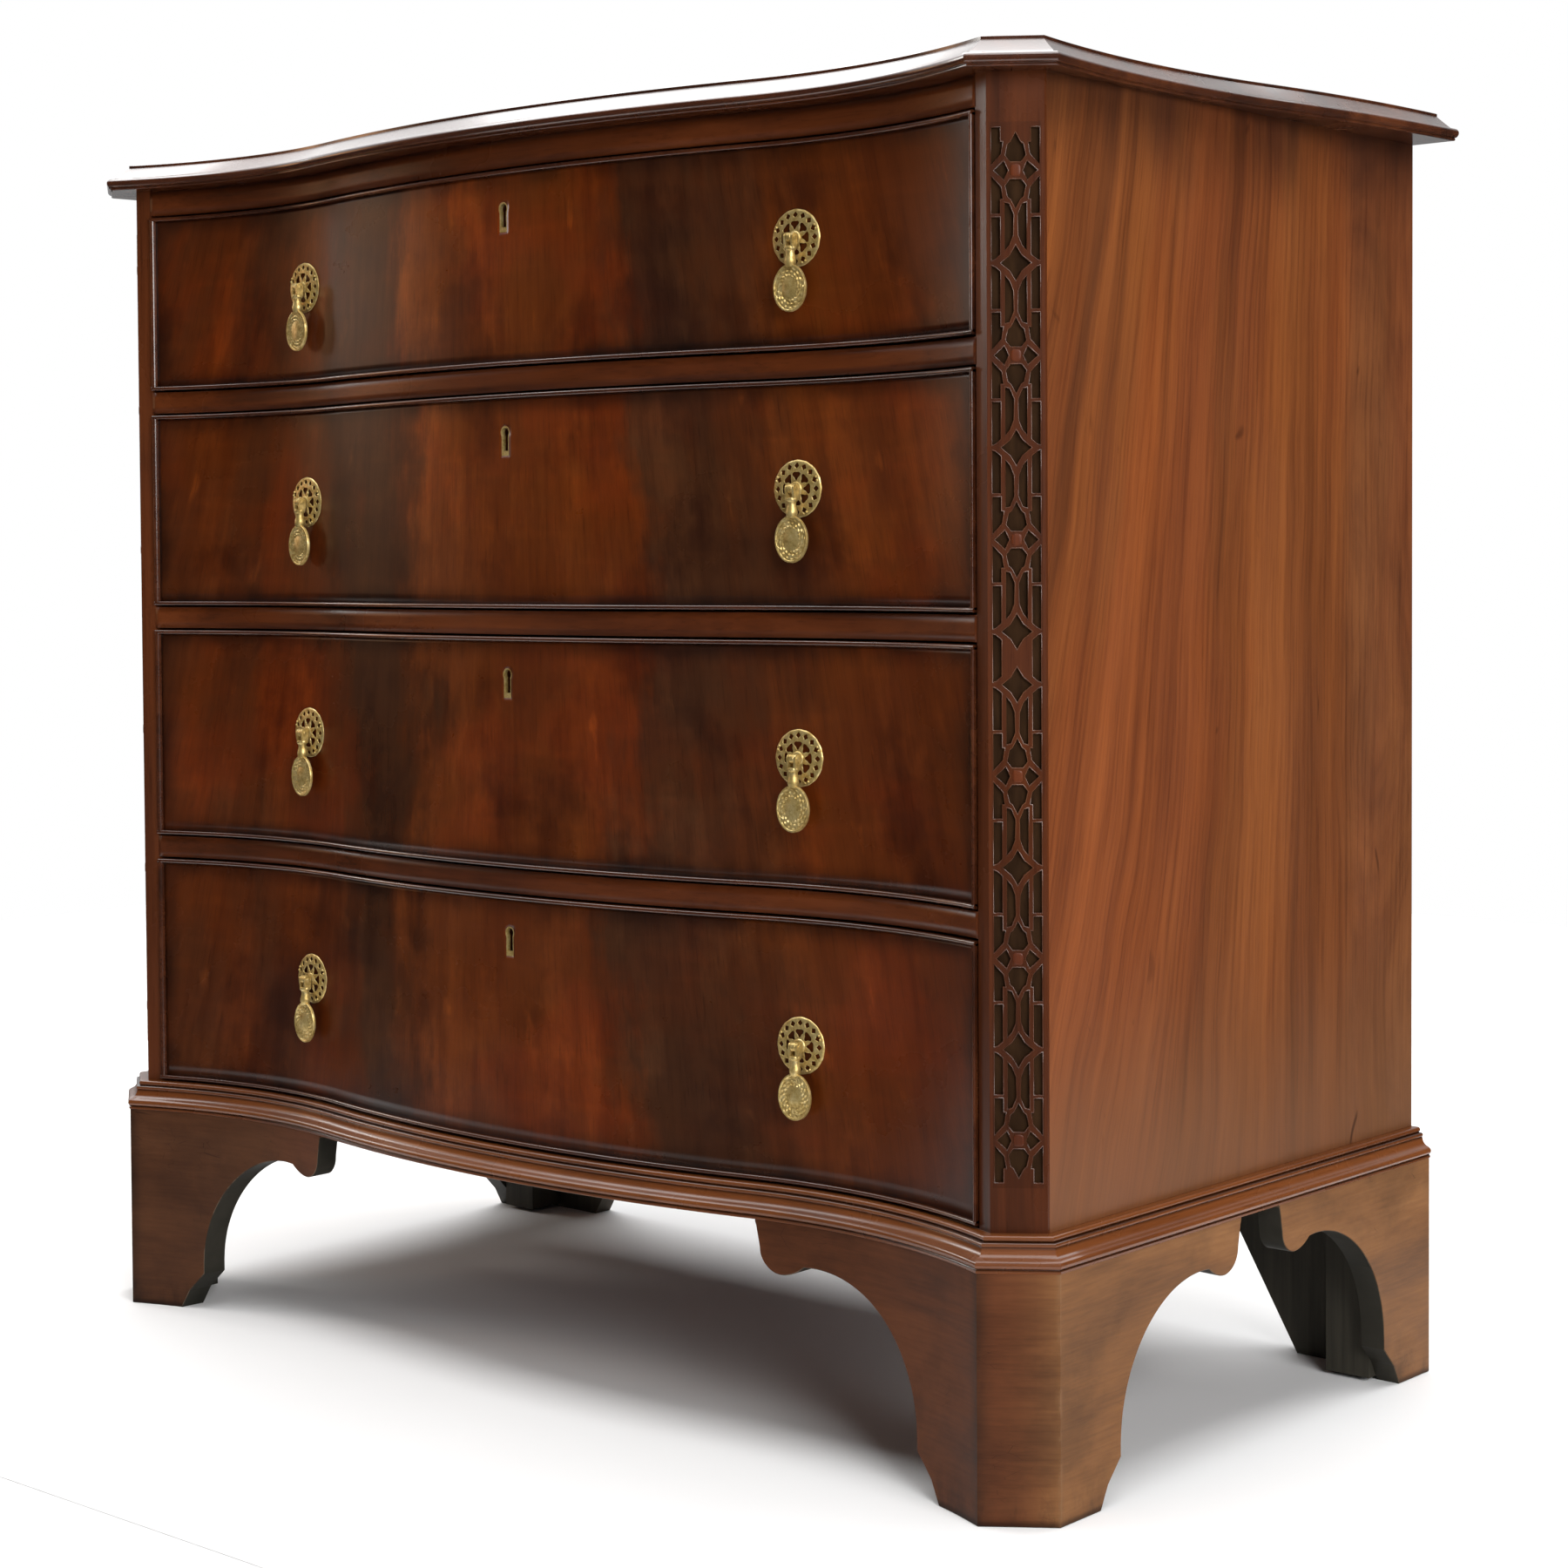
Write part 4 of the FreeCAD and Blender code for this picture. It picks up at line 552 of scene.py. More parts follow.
def foot_mahogany():
    """Feet: red-brown boards with quiet grain, cracks, scuffs, dirt in the corner joints, faded sides, a
    painted contact shadow at the floor, painted shade on the left feet, very dark faces behind the outer
    face.
    """
    f = Finish("foot_mahogany", Specular_IOR_Level=0.1)
    x, _, z = f.axes()
    band = f.noise((5, 5, 20), detail=6, rough=0.62, distort=0.4)
    fine = f.noise((22, 22, 420), rough=0.65)
    tone = f.scaled(fine, 0.25, f.times(band, 0.75))
    base = f.ramp(tone, (0.36, (0.061, 0.0192, 0.0072)), (0.52, (0.1, 0.0315, 0.011)),
                  (0.68, (0.134, 0.0445, 0.016)))
    base = f.shade(f.attribute("fade"), base, (1.86, 2.58, 2.72))
    cloud = f.noise((13, 13, 16), detail=5, rough=0.6)
    base = f.stain(base, cloud, 0.46, 0.66, 0.6, (0.58, 0.6, 0.66))
    scuff = f.noise((60, 60, 30), detail=6, rough=0.7)
    grime_and_shade = f.times(f.attribute("grime_and_shade"), f.span(scuff, 0.3, 0.6, 0.5, 1))
    base = f.shade(f.times(grime_and_shade, 0.85), base, (0.42, 0.5, 0.62))
    cracks = f.add("TexVoronoi", {"Vector": f.stretch((9, 9, 45)), "Randomness": 1},
                   feature="DISTANCE_TO_EDGE").outputs["Distance"]
    few = f.span(f.noise(12, detail=2), 0.54, 0.62)
    crack = f.times(f.span(cracks, 0, 0.012, 1, 0), few)
    base = f.shade(f.times(crack, 0.7), base, (0.3, 0.3, 0.33))
    kicked = f.times(f.span(z, 0.035, 0), f.span(scuff, 0.45, 0.65, 0, 0.8))
    base = f.shade(kicked, base, (0.6, 0.62, 0.7))
    # Painted contact shadow: a dark line along the bottom edge, within 5.5 mm of the floor.
    base = f.stain(base, z, 0.0055, 0.001, 0.85, (0.2, 0.19, 0.2))
    worn = f.times(f.attribute("wear"), f.span(scuff, 0.42, 0.62, 0, 0.9))
    base = f.mix(worn, base, (0.2, 0.105, 0.05))
    # Painted shade: the feet on the left darker from x = -0.22 m outwards, fully by -0.3 m.
    base = f.stain(base, x, -0.22, -0.3, 0.75, (0.58, 0.72, 0.82))
    # Faces behind the outer face, the inside and the edge under the arch, are very dark grey-brown, with a
    # pale line along the arris between.
    inner = f.attribute("inner")
    arris = f.times(inner, f.maths("SUBTRACT", 1, inner))
    inner_dark = f.ramp(cloud, (0.3, (0.016, 0.0152, 0.0115)), (0.7, (0.037, 0.033, 0.0255)))
    base = f.mix(inner, base, inner_dark)
    base = f.mix(f.times(arris, f.span(scuff, 0.45, 0.6, 0, 2.6)), base, (0.17, 0.125, 0.085))
    return f.made(base, f.maths("SUBTRACT", fine, crack), 0.08, 0.0008, f.span(band, 0.3, 0.7, 0.36, 0.5))


def plain_lining(name, deep, light, turn):
    """Unpolished drawer lining: dry open grain with dust in it."""
    f = Finish(name, Roughness=0.72, Specular_IOR_Level=0.25)
    grain = f.stretch(1, turn=turn)
    band = f.noise((18, 18, 1.1), grain, 5, 0.6, 0.5)
    fine = f.noise((240, 240, 9), grain, 3, 0.6)
    base = f.ramp(f.scaled(fine, 0.5, f.times(band, 0.5)), (0.34, deep), (0.64, light))
    dust = f.span(f.noise(7, detail=6), 0.5, 0.75, 0, 0.4)
    return f.made(f.mix(dust, base, (0.12, 0.085, 0.06)), fine, 0.2, 0.0008)


def worn_brass():
    """Old brass: pale where it is rubbed, brown in the hollows, with fine pits."""
    f = Finish("worn_brass", Metallic=0.75)
    patina = f.noise(240, detail=6, rough=0.65)
    pits = f.noise(1500, detail=3)
    base = f.ramp(patina, (0.3, (0.34, 0.22, 0.06)), (0.46, (0.6, 0.43, 0.15)), (0.68, (0.8, 0.64, 0.3)))
    base = f.mix(f.span(pits, 0.56, 0.7, 0, 0.45), base, (0.25, 0.155, 0.045))
    return f.made(base, f.maths("ADD", pits, patina), 0.25, 0.0004, f.span(patina, 0.3, 0.7, 0.5, 0.34))


def filed_steel():
    """Lock iron with file marks along it."""
    f = Finish("filed_steel", Metallic=1, Roughness=0.42)
    marks = f.noise((60, 60, 1200), detail=3)
    return f.made(f.ramp(marks, (0.3, (0.16, 0.15, 0.14)), (0.7, (0.42, 0.41, 0.39))), marks, 0.15, 0.0003)


def green_hide():
    """Dark green writing leather with a fine pebble and rubbed patches."""
    f = Finish("green_hide", Roughness=0.5, Specular_IOR_Level=0.35)
    pebble = f.add("TexVoronoi", {"Vector": f.stretch(900)}, feature="F1")
    rub = f.noise(9, detail=5)
    base = f.ramp(rub, (0.3, (0.012, 0.03, 0.016)), (0.55, (0.022, 0.05, 0.026)),
                  (0.75, (0.05, 0.082, 0.042)))
    return f.made(base, pebble.outputs["Distance"], 0.35, 0.0004)


def dull_ground():
    """The sunk ground behind the fret: a very dark brown, mottled."""
    f = Finish("fret_ground", Roughness=0.7, Specular_IOR_Level=0.03)
    ground_mottle = f.noise((160, 160, 30))
    base = f.ramp(ground_mottle, (0.3, (0.0165, 0.0078, 0.0034)), (0.7, (0.0345, 0.0162, 0.0068)))
    return f.made(base, ground_mottle, 0.2, 0.0005)


UPRIGHT, LEVEL, INWARD = (0, 0, 0), (0, math.pi / 2, 0), (math.pi / 2, 0, 0)
DARK = (0.0195, 0.0068, 0.0036)
# Straight-grained woods: deep, middle and light tones, way of the grain, roughness, shine and polish.
STRAIGHT_WOODS = {
    "rail": ((0.027, 0.0083, 0.0033), (0.08, 0.0184, 0.0043), (0.128, 0.0315, 0.0076), LEVEL),
    "post": (DARK, (0.07, 0.0178, 0.0055), (0.108, 0.0282, 0.0082), UPRIGHT, 0.3, 0.18),
    "moulding": ((0.024, 0.008, 0.004), (0.055, 0.015, 0.0055), (0.1, 0.028, 0.009), LEVEL, 0.22, 0.5, 0.8),
    "base": ((0.054, 0.0158, 0.0048), (0.104, 0.0282, 0.0072), (0.16, 0.048, 0.0125), None, 0.25, 0.4, 0.3),
    "bead": (DARK, (0.048, 0.0125, 0.0046), (0.085, 0.024, 0.0085), LEVEL, 0.22, 0.5, 0.6),
    "fret": ((0.026, 0.0076, 0.0031), (0.054, 0.0138, 0.0043), (0.09, 0.0226, 0.0064), UPRIGHT, 0.36, 0.12),
    # The fret's rounded window edges are lighter than the fret: worn arrises, with a painted highlight.
    "fret_edge": ((0.034, 0.0105, 0.005), (0.072, 0.023, 0.0092), (0.14, 0.056, 0.024), UPRIGHT,
                  0.24, 0.5, 0.4),
    "fret_boss": ((0.045, 0.011, 0.0042), (0.083, 0.0185, 0.0056), (0.12, 0.029, 0.0085), UPRIGHT,
                  0.34, 0.2),
    "gallery": ((0.07, 0.023, 0.009), (0.15, 0.05, 0.018), (0.23, 0.088, 0.03), LEVEL, 0.4),
}
woods = {name: straight_mahogany(f"{name}_mahogany", *made) for name, made in STRAIGHT_WOODS.items()}
flame, side_wood, foot_wood = flame_mahogany(), side_mahogany(), foot_mahogany()
brass, steel, hide, ground = worn_brass(), filed_steel(), green_hide(), dull_ground()
lining = plain_lining("drawer_lining", (0.15, 0.08, 0.034), (0.34, 0.205, 0.1), INWARD)
deal = plain_lining("back_deal", (0.085, 0.047, 0.024), (0.22, 0.13, 0.062), UPRIGHT)
raw_wood = plain_lining("raw_foot_wood", (0.024, 0.0215, 0.0155), (0.05, 0.0435, 0.031), UPRIGHT)

# Finishes of the nodes that keep their own shapes, by the endings and the words in their names.
NODE_FINISHES = (
    (brass, ("_lock",), ("drop", "pull_plates", "hinge", "quadrant")),
    (steel, ("_bolt",), ()),
    (hide, (), ("leather",)),
    (flame, ("_front", "_fall"), ()),
    (lining, ("_box", "_runners", "dustboards"), ()),
    (deal, ("back_boards",), ()),
    (woods["gallery"], ("pigeonholes",), ("inner_drawer",)),
    (woods["fret"], (), ("fret",)),
    (side_wood, ("_side",), ()),
    (foot_wood, (), ("foot",)),
    (woods["rail"], (), ("rail",)),
    (woods["post"], (), ("post",)),
)


def node_finish(name):
    """The first finish whose ending or word a node's name has."""
    for finish, endings, words in NODE_FINISHES:
        if name.endswith(endings) or any(word in name for word in words):
            return finish
    return woods["moulding"]


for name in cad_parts:
    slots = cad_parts[name].data.materials
    slots.clear()
    slots.append(node_finish(name))


def drawer_body(name):
    """The body that carries a drawer's front: the secretaire's front is the fall."""
    return "fall" if name == "secretaire" else f"{name}_drawer"


def arc(centre, radii, start, end, count):
    """Points of an ellipse's arc from one angle to another, as (offset, height) rows in millimetres."""
    angle = np.radians(np.linspace(start, end, count))
    return pairs(centre[0] + radii[0] * np.cos(angle), centre[1] + radii[1] * np.sin(angle))


def carried(path_of, profile, base):
    """A profile of (offset, height) millimetres carried round the plan that path_of gives."""
    rows = []
    for offset, height in np.asarray(profile) * MM:
        plan = both_halves(path_of(offset))
        rows.append(np.column_stack([plan, np.full(len(plan), base + height)]))
    return np.array(rows)


def make_top():
    """The top: a lip, a rounded nose, a slightly hollow slope and an upright fillet, carried round."""
    rise = np.linspace(0, 1, 9)
    profile = np.vstack([
        [(60, 0), (4.6, 0)],
        arc((4, 0.9), (1.2, 0.9), 265, 130, 7),
        [(3, 1.9)],
        arc((4.6, 5), (4.6, 3.5), 238, 84, 18),
        pairs(5.6 + 11.2 * rise, 8.6 + 9.1 * rise * (0.92 + 0.08 * rise)),
        [(16.9, 17.8), (16.9, 19.7), (17.3, 20)],
    ])
    rows = carried(top_path, profile, CARCASS_TOP)
    loop = np.arange(rows.shape[1])[None]
    ends = np.arange(rows.shape[0])[None]
    shape = Shape().grid(rows)
    shape.add(rows[-1], loop).add(rows[0], loop[:, ::-1])
    shape.add(rows[:, 0], ends).add(rows[:, -1], ends[:, ::-1])
    shape.add([rows[0, 0], rows[0, -1], rows[-1, -1], rows[-1, 0]], [(0, 3, 2, 1)])
    shape.piece("moulded_top", woods["moulding"], replaces=("top_board",))


def make_base():
    """The base moulding: two small beads, a hollow that spreads to a rounded nose, and a fillet."""
    profile = np.vstack([
        [(0, 0), (14.4, 0), (14.8, 0.4), (14.8, 1.6), (14.2, 2), (14, 2.4)],
        arc((13.3, 4.9), (2.2, 2.5), -72, 62, 10),
        arc((16.2, 13.6), (7.4, 6.3), 248, 184, 12),
        arc((7.5, 15.5), (1.6, 1.55), -58, 92, 9),
        arc((5, 18.9), (1.9, 1.9), -62, 92, 9),
        [(0, 20.85)],
    ])
    grooves, groove_wide = np.array([2.2, 13.9, 17.1]), 0.7
    shape = Shape().tube(carried(carcass_path, profile, FOOT_TOP))
    obj = shape.piece("base_moulding_run", woods["base"], replaces=("base_moulding",))
    x, y, z = points_of(obj).T
    paint(obj, "run", np.where(np.abs(x) < CORNER_X, x, np.sign(x) * (CORNER_X + y - FRONT)))
    # Painted shade, with dirt, along the three grooves of the profile.
    from_groove = (z[:, None] - FOOT_TOP) / MM - grooves
    paint(obj, "grime_and_shade", np.exp(-(from_groove / groove_wide) ** 2).max(axis=1))


def keyhole(count, radius, centre_z):
    """Keyhole outline as (x, z) rows, evenly stepped anticlockwise from the left end of its foot."""
    neck, foot, drop = 0.6 * radius, 0.82 * radius, 3.6 * radius
    turn = math.acos(-neck / radius)
    head = np.linspace(turn, -turn, 40)
    outline = np.vstack([
        [(-foot, centre_z - drop), (foot, centre_z - drop)],
        pairs(radius * np.sin(head), centre_z + radius * np.cos(head)),
        [(-foot, centre_z - drop)],
    ])
    steps = np.concatenate([[0], np.cumsum(np.hypot(*np.diff(outline, axis=0).T))])
    along = np.linspace(0, steps[-1], count, endpoint=False)
    return pairs(np.interp(along, steps, outline[:, 0]), np.interp(along, steps, outline[:, 1]))


def make_veneer(name, low, high):
    """A drawer's veneered face: a grid on the serpentine, with rings that close in on the keyhole."""
    half, rim_wide = DRAWER_HALF - BEAD, 16 * MM
    low, high = low + BEAD, high - BEAD
    key_z = high + BEAD - KEY_DROP
    wide, under, over = 13 * MM, key_z - 26 * MM, key_z + 12 * MM
    side_steps, key_steps, low_steps, key_rows, high_steps, ring_count = 130, 13, 14, 21, 5, 4
    x = stations((-half, -wide, side_steps), (-wide, wide, key_steps), (wide, half, side_steps))
    z = stations((low, under, low_steps), (under, over, key_rows), (over, high, high_steps))
    left, bottom = side_steps - 1, low_steps - 1
    right, top = left + key_steps - 1, bottom + key_rows - 1
    columns = len(x)
    faces = quads(len(z), columns)
    row, column = faces[:, 0] // columns, faces[:, 0] % columns
    window = (row >= bottom) & (row < top) & (column >= left) & (column < right)
    rim = np.concatenate([
        bottom * columns + np.arange(left, right),
        np.arange(bottom, top) * columns + right,
        top * columns + np.arange(right, left, -1),
        np.arange(top, bottom, -1) * columns + left,
    ])
    grid_x, grid_z = np.meshgrid(x, z)
    sheet = pairs(grid_x.ravel(), grid_z.ravel())
    hole = keyhole(len(rim), KEY_RADIUS - 0.05 * MM, key_z)
    share = np.linspace(0, 1, ring_count, endpoint=False)[:, None, None]
    rings = (hole * (1 - share) + sheet[rim] * share).reshape(-1, 2)
    places = np.arange(len(rings)).reshape(ring_count, -1) + len(sheet)
    loops = np.vstack([places, rim])
    after = np.roll(loops, -1, axis=1)
    patch = np.stack([loops[:-1], loops[1:], after[1:], after[:-1]], axis=-1).reshape(-1, 4)
    flat = np.vstack([sheet, rings])
    shape = Shape().add(on_front(flat[:, 0], flat[:, 1], FACE_PROUD), np.vstack([faces[~window], patch]))
    obj = shape.piece(f"{name}_veneer", flame, drawer_body(name), "flame_mahogany", skin=FACE_SKIN)
    x, _, z = points_of(obj).T
    edge = np.minimum(np.minimum(z - low, high - z), half - np.abs(x))
    paint(obj, "rim", np.clip(edge / rim_wide, 0, 1))


def bead_section():
    """Section of a cock bead as (forward, across) rows: square behind, half round in front."""
    nose = BEAD / 2
    turn = np.radians(np.linspace(-90, 90, 13))
    rounded = pairs(BEAD_PROUD - nose + nose * np.cos(turn), nose * np.sin(turn))
    return np.vstack([[(-BEAD_SUNK, -nose)], rounded, [(-BEAD_SUNK, nose)]])


def make_beads(name, low, high):
    """Cock beads: the section carried along the serpentine at top and bottom, and up each end."""
    shape, section = Shape(), bead_section()
    bottom, top, end = low + BEAD / 2, high - BEAD / 2, DRAWER_HALF - BEAD / 2
    x = np.linspace(-DRAWER_HALF, DRAWER_HALF, 261)
    for middle in (bottom, top):
        shape.tube(np.array([on_front(x, middle + across, reach) for reach, across in section]))
    z = np.linspace(bottom, top, 14)
    for middle in (end, -end):
        rows = [on_front(middle + across, z, reach) for reach, across in section]
        shape.tube(np.array(rows), flip=True)
    shape.piece(f"{name}_beads", woods["bead"], drawer_body(name), "bead_mahogany", 40,
                (f"{name}_cock_beads",))


def make_rail_faces():
    """Smooth serpentine faces of the rails, a hair in front of them."""
    for word, (low, high) in RAILS.items():
        x, z = np.meshgrid(np.linspace(-OPENING, OPENING, 261), np.linspace(low, high, 4))
        shape = Shape().grid(on_front(x, z, FACE_PROUD))
        shape.piece(f"{word}_rail_face", woods["rail"], skin=FACE_SKIN)


def bracket_low(u):
    """Height of a bracket's lower edge at a distance from the corner: toe, notch, arch, lobe and tip."""
    step, arch_rise, lobe_rise, brow_drop, tip_rise = 14, 35, 133, 0.5, 18.4
    crown, dip = arch_rise + ARCH_RADIUS, lobe_rise - LOBE_RADIUS
    u = u / MM
    arch = arch_rise + np.sqrt(np.clip(ARCH_RADIUS ** 2 - (CROWN - u) ** 2, 0, None))
    lobe = lobe_rise - np.sqrt(np.clip(LOBE_RADIUS ** 2 - (u - LOBE) ** 2, 0, None))
    runs = [u <= end for end in (TOE, KNEE, NOTCH, CROWN, BROW, LOBE, LOBE_END)]
    heights = [0 * u, (u - TOE) / (KNEE - TOE) * step, step + (u - KNEE) / (NOTCH - KNEE) * step, arch,
               crown - (u - CROWN) / (BROW - CROWN) * brow_drop,
               dip + (crown - brow_drop - dip) * ((LOBE - u) / (LOBE - BROW)) ** 2, lobe]
    return np.select(runs, heights, lobe_rise + (u - LOBE_END) / (TIP - LOBE_END) * tip_rise) * MM


def bracket_steps():
    """Stations along a bracket, close together where its edge turns, with both sides of each sharp step."""
    runs = ((0, 3, 4), (4, TOE, 10), (TOE + 0.01, KNEE, 4), (KNEE + 0.01, NOTCH, 6), (NOTCH + 0.01, 66, 10),
            (67, 80, 10), (82, CROWN, 26), (CROWN + 0.5, BROW, 5), (BROW + 0.5, LOBE, 10),
            (LOBE + 0.5, 191, 12), (191.5, LOBE_END - 0.01, 8), (LOBE_END, TIP, 5))
    return np.concatenate([np.linspace(*run) for run in runs]) * MM


def bracket(shape, outer, inner, low, flip=False):
    """A board on edge: at each station its section goes along the foot, up the face and down behind."""
    ease = 0.7 * MM
    push = unit(inner - outer) * ease
    low = np.minimum(low, FOOT_TOP - 3 * ease)
    face = low + ease
    rows = [(inner, low), (outer + push, low), (outer, face)]
    rows += [(outer, face + (FOOT_TOP - face) * share) for share in (0.25, 0.5, 0.75, 1)]
    rows += [(inner, np.full(len(low), FOOT_TOP))]
    shape.tube(np.array([np.column_stack([plan, level]) for plan, level in rows]), flip=flip)


def make_feet():
    """Bracket feet: a curved front board, a canted facing and a side board, shaped along the lower edge."""
    reach, inner_reach = FOOT_REACH, FOOT_REACH - FOOT_BOARD
    corner, shoulder = cant_ends(reach)
    in_corner, in_shoulder = cant_ends(inner_reach)
    steps = bracket_steps()
    low = bracket_low(steps)
    share = steps / steps[-1]
    inside, behind = shoulder[0] - FOOT_BOARD, BACK - FOOT_BOARD

    front = Shape()
    x = corner[0] - steps
    inner_x = in_corner[0] + (x[-1] - in_corner[0]) * share
    inner_front = pairs(inner_x, front_y(inner_x, inner_reach))
    bracket(front, pairs(x, front_y(x, reach)), inner_front, low, flip=True)
    facing = np.array([0, 0.04, 0.08, 0.14, 0.22, 0.32, 0.5, 0.7, 0.92, 0.96, 1])[:, None]
    bracket(front, corner + (shoulder - corner) * facing, in_corner + (in_shoulder - in_corner) * facing,
            np.zeros(len(facing)))
    y = shoulder[1] + steps
    inner_y = in_shoulder[1] + (y[-1] - in_shoulder[1]) * share
    bracket(front, pairs(shoulder[0], y), pairs(inside, inner_y), low)
    front.block((in_shoulder[0] - GLUE_BLOCK, in_shoulder[1], BLOCK_LIFT),
                (in_shoulder[0], in_shoulder[1] + GLUE_BLOCK, FOOT_TOP))

    rear = Shape()
    outer = pairs(shoulder[0], BACK - steps)
    bracket(rear, outer, outer - np.array([FOOT_BOARD, 0]), low, flip=True)
    splay = np.array([(-150, 151.5), (-150, 121.5), (-78, 0), (0, 0), (0, 151.5)]) * MM
    board = [np.column_stack([inside + splay[:, 0], np.full(5, y), splay[:, 1]]) for y in (behind, BACK)]
    brace = Shape().tube(np.stack(board, axis=1))
    brace.block((inside - GLUE_BLOCK, behind - GLUE_BLOCK, BLOCK_LIFT), (inside, behind, FOOT_TOP))

    rubbed = np.array([shoulder, (shoulder[0], BACK)])
    along = unit(shoulder - corner)
    inwards = np.array([-along[1], along[0]])
    rub_wide, grime_wide, inner_deep = 1.6 * MM, 6 * MM, 0.6 * MM
    for word, sign in SIDES:
        brace.on_side(sign).piece(f"{word}_rear_brace", raw_wood, angle=30)
        for place, shape in (("front", front), ("rear", rear)):
            obj = shape.on_side(sign).piece(f"{word}_{place}_bracket_foot", foot_wood, angle=30,
                                            replaces=(f"{word}_{place}_foot",))
            plan = points_of(obj)[:, :2] * np.array([sign, 1])
            near = np.linalg.norm(plan[:, None] - rubbed[None], axis=-1).min(axis=1)
            paint(obj, "wear", np.exp(-(near / rub_wide) ** 2))
            # Dirt along the joint of the front board and the canted facing.
            paint(obj, "grime_and_shade", np.exp(-(np.linalg.norm(plan - corner, axis=1) / grime_wide) ** 2))
            round_side = np.clip((plan[:, 0] - corner[0]) / (shoulder[0] - corner[0]), 0, 1)
            paint(obj, "fade", round_side ** 3)
            behind_front = np.where(plan[:, 0] > corner[0], 1, plan[:, 1] - front_y(plan[:, 0], reach))
            behind_face = np.minimum((plan - corner) @ inwards, shoulder[0] - plan[:, 0])
            paint(obj, "inner", np.clip(np.minimum(behind_front, behind_face) / inner_deep, 0, 1))


def fret_windows():
    """Window outlines of the blind fret on one post, as (across, along) millimetres from its middle."""
    edge, reach = 14.2, FRET_PITCH / 2
    side_diamond = [(4.4, 0), (6.9, 5.4), (12.8, 0), (6.9, -5.4)]
    lancet = [(-3.2, 5.2), (3.2, 5.2), (6, 8.8), (4.6, 15.4), (2.8, 16.8), (0, 22.2), (-2.8, 16.8),
              (-4.6, 15.4), (-6, 8.8)]
    upper = [(edge, 3.4), (edge, 25.2), (9.2, 25.2), (9.2, 16.6), (7.6, 16.6), (8.7, 9.6)]
    lower = [(9.2, 27.4), (edge, 27.4), (edge, reach - 1.6), (12.4, reach - 2.3), (9.2, reach - 5)]
    inner = [(1.3, 25.8), (3.8, 19.6), (6.4, 18.9), (6.4, reach - 7.4), (3.8, reach - 10.6),
             (1.6, reach - 16.4)]
    diamond = [(0, -10.3), (3.5, -4.4), (8.9, 0), (3.5, 4.4), (0, 10.3), (-3.5, 4.4), (-8.9, 0),
               (-3.5, -4.4)]
    middle = FRET_FIRST - reach - 1.6
    centre = [(edge, middle), (12.4, middle - 0.7), (9.2, middle - 3.4), (9.2, 3.4 - middle),
              (12.4, 0.7 - middle), (edge, -middle)]
    laid = []
    for side in (1, -1):
        laid.append((centre, 0, side, 1))
        for place in FRET_ROSETTES:
            laid.append((side_diamond, place, side, 1))
            for up in (1, -1):
                laid.append((upper, place, side, up))
                if not (abs(place) == max(FRET_ROSETTES) and (place > 0) == (up > 0)):
                    laid += [(lower, place, side, up), (inner, place, side, up)]
    for place in FRET_ROSETTES:
        laid += [(lancet, place, 1, 1), (lancet, place, 1, -1)]
        laid.append((diamond, place - math.copysign(reach, place), 1, 1))
    return [np.array(points) * (side, up) + (0, place) for points, place, side, up in laid]


def grown(outline, distance):
    """A closed outline moved outwards by a distance, with its corners mitred."""
    ahead = unit(np.roll(outline, -1, axis=0) - outline)
    before = np.roll(ahead, 1, axis=0)
    out_ahead = pairs(ahead[:, 1], -ahead[:, 0])
    out_before = pairs(before[:, 1], -before[:, 0])
    mitre = out_ahead + out_before
    mitre = mitre / np.maximum((mitre * out_ahead).sum(axis=1), 0.55)[:, None]
    return outline + mitre * distance


def make_frets():
    """Rounded edges round every window of the frets, bosses on the rosettes, and the dark ground behind."""
    corner, shoulder = cant_ends(0)
    along = unit(shoulder - corner)
    outward = np.array([along[1], -along[0]])
    middle = (corner + shoulder) / 2

    def lay(flat, lift):
        """Flat (across, along) millimetres laid on the cant and lifted off it."""
        plan = middle + flat[..., :1] * MM * along + lift * MM * outward
        return np.concatenate([plan, FRET_MIDDLE + flat[..., 1:] * MM], axis=-1)

    section = ((-0.02, -1.2), (-0.02, -0.1), (0.08, 0.1), (0.26, 0.2), (0.46, 0.14), (0.6, -0.06),
               (0.6, -1.2))
    edges = Shape()
    for outline in fret_windows():
        ahead = np.roll(outline, -1, axis=0)
        area = (outline[:, 0] * ahead[:, 1] - outline[:, 1] * ahead[:, 0]).sum()
        outline = outline if area > 0 else outline[::-1]
        rounds = np.array([lay(grown(outline, out), lift) for out, lift in section])
        edges.grid(rounds, wrap_rows=True, wrap_columns=True, flip=True)
    sheet = np.array([(-1, -1), (1, -1), (1, 1), (-1, 1)]) * FRET_GROUND
    plate = Shape().tube(np.stack([lay(sheet, -2.35), lay(sheet, -2.2)], axis=1), flip=True)
    turn = full_turn(24)
    square = pairs(np.cos(turn), np.sin(turn))
    square = np.array([3.2, 3.7]) * np.sign(square) * np.abs(square) ** 0.6
    bosses = Shape()
    for place in FRET_ROSETTES:
        loops = [lay(square * wide + (0, place), lift) for wide, lift in BOSS_RISE]
        tip = np.array([[0, place]])
        bosses.shell(np.array(loops), lay(tip, BOSS_RISE[0][1])[0], lay(tip, BOSS_RISE[-1][1])[0])
    made = ((edges, "fret_edges", woods["fret_edge"]), (plate, "fret_ground", ground),
            (bosses, "fret_bosses", woods["fret_boss"]))
    for word, sign in SIDES:
        for shape, piece, finish in made:
            shape.on_side(sign).piece(f"{word}_{piece}", finish, slot="fret_mahogany", angle=50)


